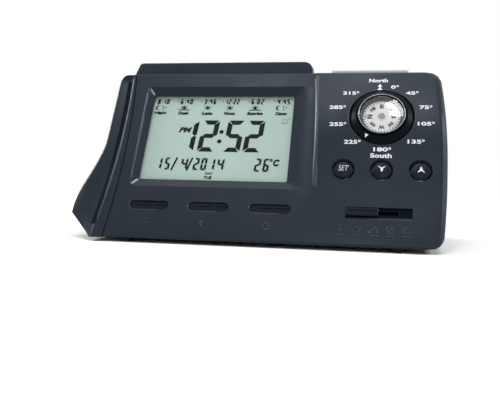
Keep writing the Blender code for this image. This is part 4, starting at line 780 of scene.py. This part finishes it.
for number, (outer_x, outer_y, inner_x, inner_y) in enumerate(FRAME_CORNERS):
    valley = Vector((inner_x - outer_x, inner_y - outer_y))
    aside = Vector((-valley.y, valley.x)).normalized()

    def chord(x, y):
        """The height of a straight line across the valley, from one slope to the other."""
        offset = (Vector((x, y)) - Vector((outer_x, outer_y))).dot(aside)
        share = (offset + ROUND_REACH) / (2 * ROUND_REACH)
        ends = [Vector((x, y)) + aside * (side * ROUND_REACH - offset) for side in (-1, 1)]
        low, high = [shell_surface(*end) for end in ends]
        return low + (high - low) * share

    rows = []
    for share in [0.08 + 0.90 * i / 8 for i in range(9)]:
        centre = Vector((outer_x, outer_y)) + valley * share
        rows.append([tuple(centre + aside * ROUND_REACH * (j / 3)) for j in range(-3, 4)])
    round_piece = lay("frame_round_" + str(number + 1), [strip(rows)], chord, -0.02, 0.04, edge_abs,
                      "clock_body")
    smooth(round_piece)

# %% [markdown]
# Fingers and cleaning polish the edges that stand out: the frame's left edge, and the lower left
# rims of the key and button openings. A bead of the same plastic, a millimetre wide at most and
# hardly raised, carries that shine. Each follows a path, with a row of places across it at each
# point.

# %% Polished beads
BEAD_RISE = 0.12
LONG_KEYS = ((-32.6, -45.6), (1.1, -45.6), (34.8, -45.6))
ROUND_BUTTONS = ((72.5, -21.5), (92.7, -21.5), (112.9, -21.5))


def bead(path, half):
    """A crowned band of places along a path of x and y."""
    rows = []
    for i, (x, y) in enumerate(path):
        x0, y0 = path[max(i - 1, 0)]
        x1, y1 = path[min(i + 1, len(path) - 1)]
        aside = Vector((y1 - y0, x0 - x1)).normalized() * half
        rows.append([(x + aside.x * j / 3, y + aside.y * j / 3) for j in range(-3, 4)])
    return strip(rows, crown=0.9)


KEY_END = 8.5
OPENING_RADIUS = 2.85
BUTTON_OPENING = 5.6
beads = [bead([(-46.25, 32.0 - 64.4 * i / 16) for i in range(17)], 0.5)]
for x, y in LONG_KEYS:
    left_end = arc(x - KEY_END, y, OPENING_RADIUS, 150, 270, 8)
    beads.append(bead(left_end + [(x - KEY_END + 2 * i, y - OPENING_RADIUS) for i in range(1, 8)], 0.28))
for x, y in ROUND_BUTTONS:
    beads.append(bead(arc(x, y, BUTTON_OPENING, 170, 310, 14), 0.28))
polished_beads = lay("polished_beads", beads, shell_surface, -0.02, BEAD_RISE, edge_abs, "clock_body")
smooth(polished_beads)

# %% [markdown]
# Where the flat face steps up to the bulged panel, the shoulder has been rubbed most. Its profile is
# a quarter of an ellipse: 2.4 mm wide, and as high as the panel stands there. A skin of rubbed
# plastic with that profile, finely divided, shows the lamp at the left as one soft line.

# %% Rubbed shoulder of the panel
SHOULDER_WIDTH = 2.4
SHOULDER_STEPS = 16
SHOULDER_TOP = 40.5
ROW_PITCH = 2.5
SEARCH_START = 53.0
SEARCH_STOP = 60.0
quarter = [math.radians(90 * j / SHOULDER_STEPS) for j in range(SHOULDER_STEPS + 1)]
shoulder = {}
shoulder_rows = []
for i in range(31):
    y = SHOULDER_TOP - ROW_PITCH * i
    x = SEARCH_START
    while shell_surface(x, y) < 0.04 and x < SEARCH_STOP:
        x += 0.02
    if x < SEARCH_STOP:
        start = x - 0.03
        shoulder[y] = (start, shell_surface(x + 4.0, y))
        shoulder_rows.append([(start + SHOULDER_WIDTH * (1 - math.cos(turn)), y) for turn in quarter])


def shoulder_height(x, y):
    """The height of the panel's quarter-round shoulder."""
    start, height = shoulder[y]
    share = min(1.0, max(0.0, (x - start) / SHOULDER_WIDTH))
    return height * math.sqrt(1 - (1 - share) ** 2)


panel_shoulder = lay("panel_shoulder", [strip(shoulder_rows)], shoulder_height, 0.0, 0.04, crease_abs,
                     "clock_body")
smooth(panel_shoulder)

# %% [markdown]
# Behind the slide knob a thin black sheet covers the groove's floor and leaves a slot for the
# knob's stem. It is partly a dust strip of darker plastic and partly painted shade that darkens the groove.

# %% Dust strip and painted shade in the slide's groove
GROOVE_FLOOR = -1.2
STRIP_LEFT = 74.9
STRIP_RIGHT = 108.7
groove_sheets = [block(STRIP_LEFT, -44.3, STRIP_RIGHT, -43.1), block(STRIP_LEFT, -48.1, STRIP_RIGHT, -46.9),
          block(STRIP_LEFT, -46.9, 81.2, -44.3), block(102.4, -46.9, STRIP_RIGHT, -44.3)]
lay("slide_dust_strip_and_painted_shade", [prism(outline) for outline in groove_sheets], level(GROOVE_FLOOR), 0.02, 0.1,
    black_abs_and_painted_shade, "clock_body")

# %% [markdown]
# The knob's rim has rubbed the groove's sloped lower wall smooth, so that wall is shinier than the
# rest of the case and shows as a pale line.

# %% Rubbed lip of the groove
LIP_TOP = -48.15
LIP_WIDTH = 1.75
lip_rows = [[(x, LIP_TOP - LIP_WIDTH * j / 6) for j in range(7)]
            for x in (86.0, 91.0, 96.0, 101.0, 106.0, 108.6)]
lay("slide_groove_lip", [strip(lip_rows)], shell_surface, -0.02, 0.08, crease_abs, "clock_body")

# %% [markdown]
# The steep wall of the cheek's flute is covered by a thin matt black strip, which is painted shade.
# The ridge above it has a polished edge that draws a thin light line down the cheek. Both follow the
# ridge, which is found by stepping to the left until the surface drops.

# %% Painted shade on the cheek, and its ridge line
cheek_surface = surface_of("left_cheek")
RIDGE_START = -56.0
EDGE_DROP = -0.35
CHEEK_LOW = -56.0
CHEEK_PITCH = 2.35
cheek_shade_rows = []
ridge_rows = []
for i in range(42):
    y = CHEEK_LOW + CHEEK_PITCH * i
    x = RIDGE_START
    while cheek_surface(x, y) > EDGE_DROP:
        x -= 0.1
    cheek_shade_rows.append([(x - 0.25 - 4.2 * j / 12, y) for j in range(13)])
    ridge_rows.append([(x + 1.1 - 1.1 * j / 8, y) for j in range(9)])
cheek_shade_rows.reverse()
ridge_rows.reverse()
cheek_shade_piece = lay("cheek_painted_shade", [strip(cheek_shade_rows)], cheek_surface, 0.02, 0.14, black_abs_and_painted_shade, "clock_body")
ridge_line = lay("cheek_ridge_line", [strip(ridge_rows, crown=0.95)], cheek_surface, -0.02, 0.34,
                 crease_abs, "clock_body")
cheek_shade_piece.modifiers.new("smooth_forms", "NODES").node_group = smooth_forms
smooth(ridge_line)

# %% [markdown]
# Under the long keys and the slide, small signs are moulded into the case: the mould is engraved,
# so they stand 0.2 mm proud in the case's own plastic. Their tops are rubbed a little shinier, and
# they only show where light grazes them.

# %% Moulded signs
SIGN_HEIGHT = 0.22
SIGN_LINE = 0.45
SIGN_HOOPS = ((-32.0, -55.0, 1.5, 20, 340, 10), (34.0, -55.6, 1.8, 0, 360, 12),
              (80.8, -56.0, 1.5, 200, 480, 10), (97.6, -55.6, 1.9, 0, 360, 12))
SIGN_DISCS = ((83.0, -55.4, 0.5, 8), (87.2, -57.2, 0.8, 10), (91.2, -56.7, 0.8, 10))
KEY_SIGN_LINES = ((-32.0, -55.0, -30.9, -56.2), (-34.4, -56.8, -33.2, -56.0), (0.6, -57.9, 1.8, -58.3),
                  (34.0, -55.6, 34.0, -54.3), (34.0, -55.6, 35.1, -55.6), (31.2, -57.8, 36.8, -57.8))
SLIDE_SIGN_LINES = ((70.9, -53.6, 74.3, -53.6), (72.6, -53.6, 72.6, -57.2), (87.2, -57.4, 90.2, -54.0),
                    (90.2, -54.0, 91.4, -56.6), (96.2, -57.0, 99.0, -54.2), (103.4, -56.9, 105.2, -54.0),
                    (105.2, -54.0, 107.8, -55.2), (103.4, -56.9, 107.8, -56.9))
signs = [crescent(-0.4, -55.6, 2.1, 0.5)]
for x, y, radius, start, stop, steps in SIGN_HOOPS:
    signs += hoop(x, y, radius, SIGN_LINE, start, stop, steps)
signs += [disc(*dot) for dot in SIGN_DISCS]
signs += [stroke_between(*ends, SIGN_LINE) for ends in KEY_SIGN_LINES + SLIDE_SIGN_LINES]
for x in (72.6, 81.0, 89.4, 97.6, 105.8):
    signs.append(stroke_between(x - 2.2, -58.9, x + 2.2, -58.9, SIGN_LINE))
lay("moulded_signs", [prism(sign) for sign in signs], shell_surface, -0.02, SIGN_HEIGHT, crease_abs,
    "clock_body")

# %% [markdown]
# The back carries its own small things: a moulded arrow under the thumb recess of the battery
# cover, which says which way it comes off, and on each case screw a flat black cross, painted shade for its
# recess.
# The back is upright, so a second set of axes places them: across, up and out.

# %% Marks on the back
BACK_OUT = 39.0
COVER_X = 21.95


def on_back(across, up, out=0.0):
    """A place on the back, across from right to left, in millimetres."""
    return Vector((-across, BACK_OUT + out, up)) * MM


cover_signs = [[(-COVER_X, 24.5), (-COVER_X + 3.2, 30.0), (-COVER_X - 3.2, 30.0)]]
for low in (33.0, 35.2, 37.4):
    cover_signs.append(block(-COVER_X - 7.0, low, -COVER_X + 7.0, low + 0.8))
lay("cover_arrow", [prism(sign) for sign in cover_signs], level(0.0), -0.05, 0.3, shell_abs, "battery_cover",
    on_back)
CROSS_REACH = 1.5
CROSS_WIDTH = 0.7
# Each cross is a flat black mark, painted shade for the screw's cross recess.
for side, out, up in (("low", -41.9, 12.5), ("high", -5.2, 68.0)):
    recess_shades = []
    for x in (73.0, -96.6):
        recess_shades.append(stroke_between(x - CROSS_REACH, up, x + CROSS_REACH, up, CROSS_WIDTH))
        recess_shades.append(stroke_between(x, up - CROSS_REACH, x, up + CROSS_REACH, CROSS_WIDTH))
    lay("screw_recess_painted_shade_" + side, [prism(cross) for cross in recess_shades], level(out), 0.01, 0.03, black_abs_and_painted_shade,
        "clock_body", on_back)

# %% [markdown]
# The studio is a pale floor, a white surround and soft lamps. The lens and angle repeat the
# photograph's, found from the display's four corners.

# %% Camera
CAMERA_PLACE = Vector((0.0630, -0.36912, 0.04961))
CAMERA_RIGHT = Vector((0.98301, 0.18285, 0.01600))
CAMERA_UP = Vector((-0.02978, 0.07287, 0.99689))
camera_data = bpy.data.cameras.new("studio_camera")
camera_data.lens = 46.74
camera_data.sensor_width = 36.0
camera_data.sensor_fit = "HORIZONTAL"
camera_data.clip_start = 0.01
camera = new_object("studio_camera", camera_data)
camera_back = CAMERA_RIGHT.cross(CAMERA_UP)
camera.matrix_world = Matrix((CAMERA_RIGHT, CAMERA_UP, camera_back)).transposed().to_4x4()
camera.matrix_world.translation = CAMERA_PLACE
bpy.context.scene.camera = camera
print("camera lens:", camera_data.lens, "mm")

# %% [markdown]
# The floor is matt white paper. Near the clock it is a real surface that takes the clock's shadow;
# further out it fades into the white of the surround, so no horizon shows. The fade goes by the
# distance from the clock, so it is the same from every side.

# %% Floor
FLOOR_REACH = 3.0
FADE_START = 0.22
FADE_STOP = 0.60
floor_mesh = bpy.data.meshes.new("studio_floor")
floor_solid = bmesh.new()
bmesh.ops.create_grid(floor_solid, x_segments=1, y_segments=1, size=FLOOR_REACH)
floor_solid.to_mesh(floor_mesh)
floor_solid.free()
studio_floor = new_object("studio_floor", floor_mesh)
floor_paper, floor_tree, floor_shader = new_material("paper_sweep_matt_white", {
    "Base Color": linear("fafafa"), "Roughness": 0.9, "Specular IOR Level": 0.0})
floor_distance = add_node(floor_tree, "ShaderNodeVectorMath", {"operation": "LENGTH"}, {
    0: own_place(floor_tree)})
floor_fade = add_node(floor_tree, "ShaderNodeMapRange", {"interpolation_type": "SMOOTHSTEP"}, {
    "Value": floor_distance.outputs["Value"], "From Min": FADE_START, "From Max": FADE_STOP})
floor_glow = add_node(floor_tree, "ShaderNodeEmission", {}, {"Color": (1, 1, 1, 1), "Strength": 1.0})
floor_mix = add_node(floor_tree, "ShaderNodeMixShader", {}, {
    "Fac": floor_fade.outputs["Result"], 1: floor_shader.outputs["BSDF"], 2: floor_glow.outputs["Emission"]})
floor_tree.links.new(floor_mix.outputs["Shader"], floor_tree.nodes["Material Output"].inputs["Surface"])
floor_mesh.materials.append(floor_paper)

# %% [markdown]
# The surround is white to the eye and in reflections, at a strength of 1, while its light on the
# clock is a lower fill.

# %% Surround
FILL = 0.38
world = bpy.data.worlds.new("studio_surround")
bpy.context.scene.world = world
world.use_nodes = True
surround = world.node_tree.nodes["Background"]
surround.inputs["Color"].default_value = (1, 1, 1, 1)
seen = add_node(world.node_tree, "ShaderNodeLightPath")
direct = add_node(world.node_tree, "ShaderNodeMath", {"operation": "MAXIMUM"}, {
    0: seen.outputs["Is Camera Ray"], 1: seen.outputs["Is Glossy Ray"]})
clear_ray = add_node(world.node_tree, "ShaderNodeMath", {"operation": "MAXIMUM"}, {
    0: direct.outputs[0], 1: seen.outputs["Is Transmission Ray"]})
white_level = add_node(world.node_tree, "ShaderNodeMapRange", {}, {
    "Value": clear_ray.outputs[0], "To Min": FILL, "To Max": 1.0})
world.node_tree.links.new(white_level.outputs["Result"], surround.inputs["Strength"])
print("surround fill:", FILL)

# %% [markdown]
# Lamps do the modelling. A broad one overhead lights the top and the floor. High in front, one
# lightens the bulged panel and one shows in the compass lens. A strip at the left draws the lines
# on the panel's shoulder and the cheek's ridge, a strip at the right draws the one down the rounded
# right edge, and two small lamps find the left corners of the display frame.

# %% Lamps
def softbox(name, place, aim, width, height, power):
    """A rectangular lamp that faces a point."""
    data = bpy.data.lights.new(name, "AREA")
    data.shape = "RECTANGLE"
    data.size = width
    data.size_y = height
    data.energy = power
    lamp = new_object(name, data)
    lamp.location = place
    lamp.rotation_mode = "QUATERNION"
    lamp.rotation_quaternion = (Vector(place) - Vector(aim)).to_track_quat("Z", "Y")
    print(name, "gives", power, "W")


MIDDLE = (0.0, 0.0, 0.05)
softbox("overhead_softbox", (0.0, 0.15, 0.95), MIDDLE, 1.0, 0.6, 2.4)
softbox("panel_softbox", (-0.17, -0.34, 0.93), (0.03, 0.0, 0.07), 0.14, 0.20, 1.1)
softbox("lens_softbox", (0.215, -0.34, 0.90), (0.07, 0.0, 0.07), 0.17, 0.17, 1.2)
softbox("left_strip", (-0.72, 0.12, 0.52), (0.03, 0.0, 0.08), 0.45, 0.14, 4.0)
softbox("right_strip", (0.78, 0.07, 0.49), (0.10, 0.0, 0.07), 0.10, 0.30, 3.0)
softbox("mitre_lamp_low", (0.013, -0.103, 0.773), (-0.068, -0.021, 0.032), 0.08, 0.08, 0.4)
softbox("mitre_lamp_high", (0.124, -0.598, 0.480), (-0.068, 0.010, 0.085), 0.08, 0.08, 0.4)

# %% [markdown]
# Last comes the colour setting.

bpy.context.scene.view_settings.view_transform = "Standard"
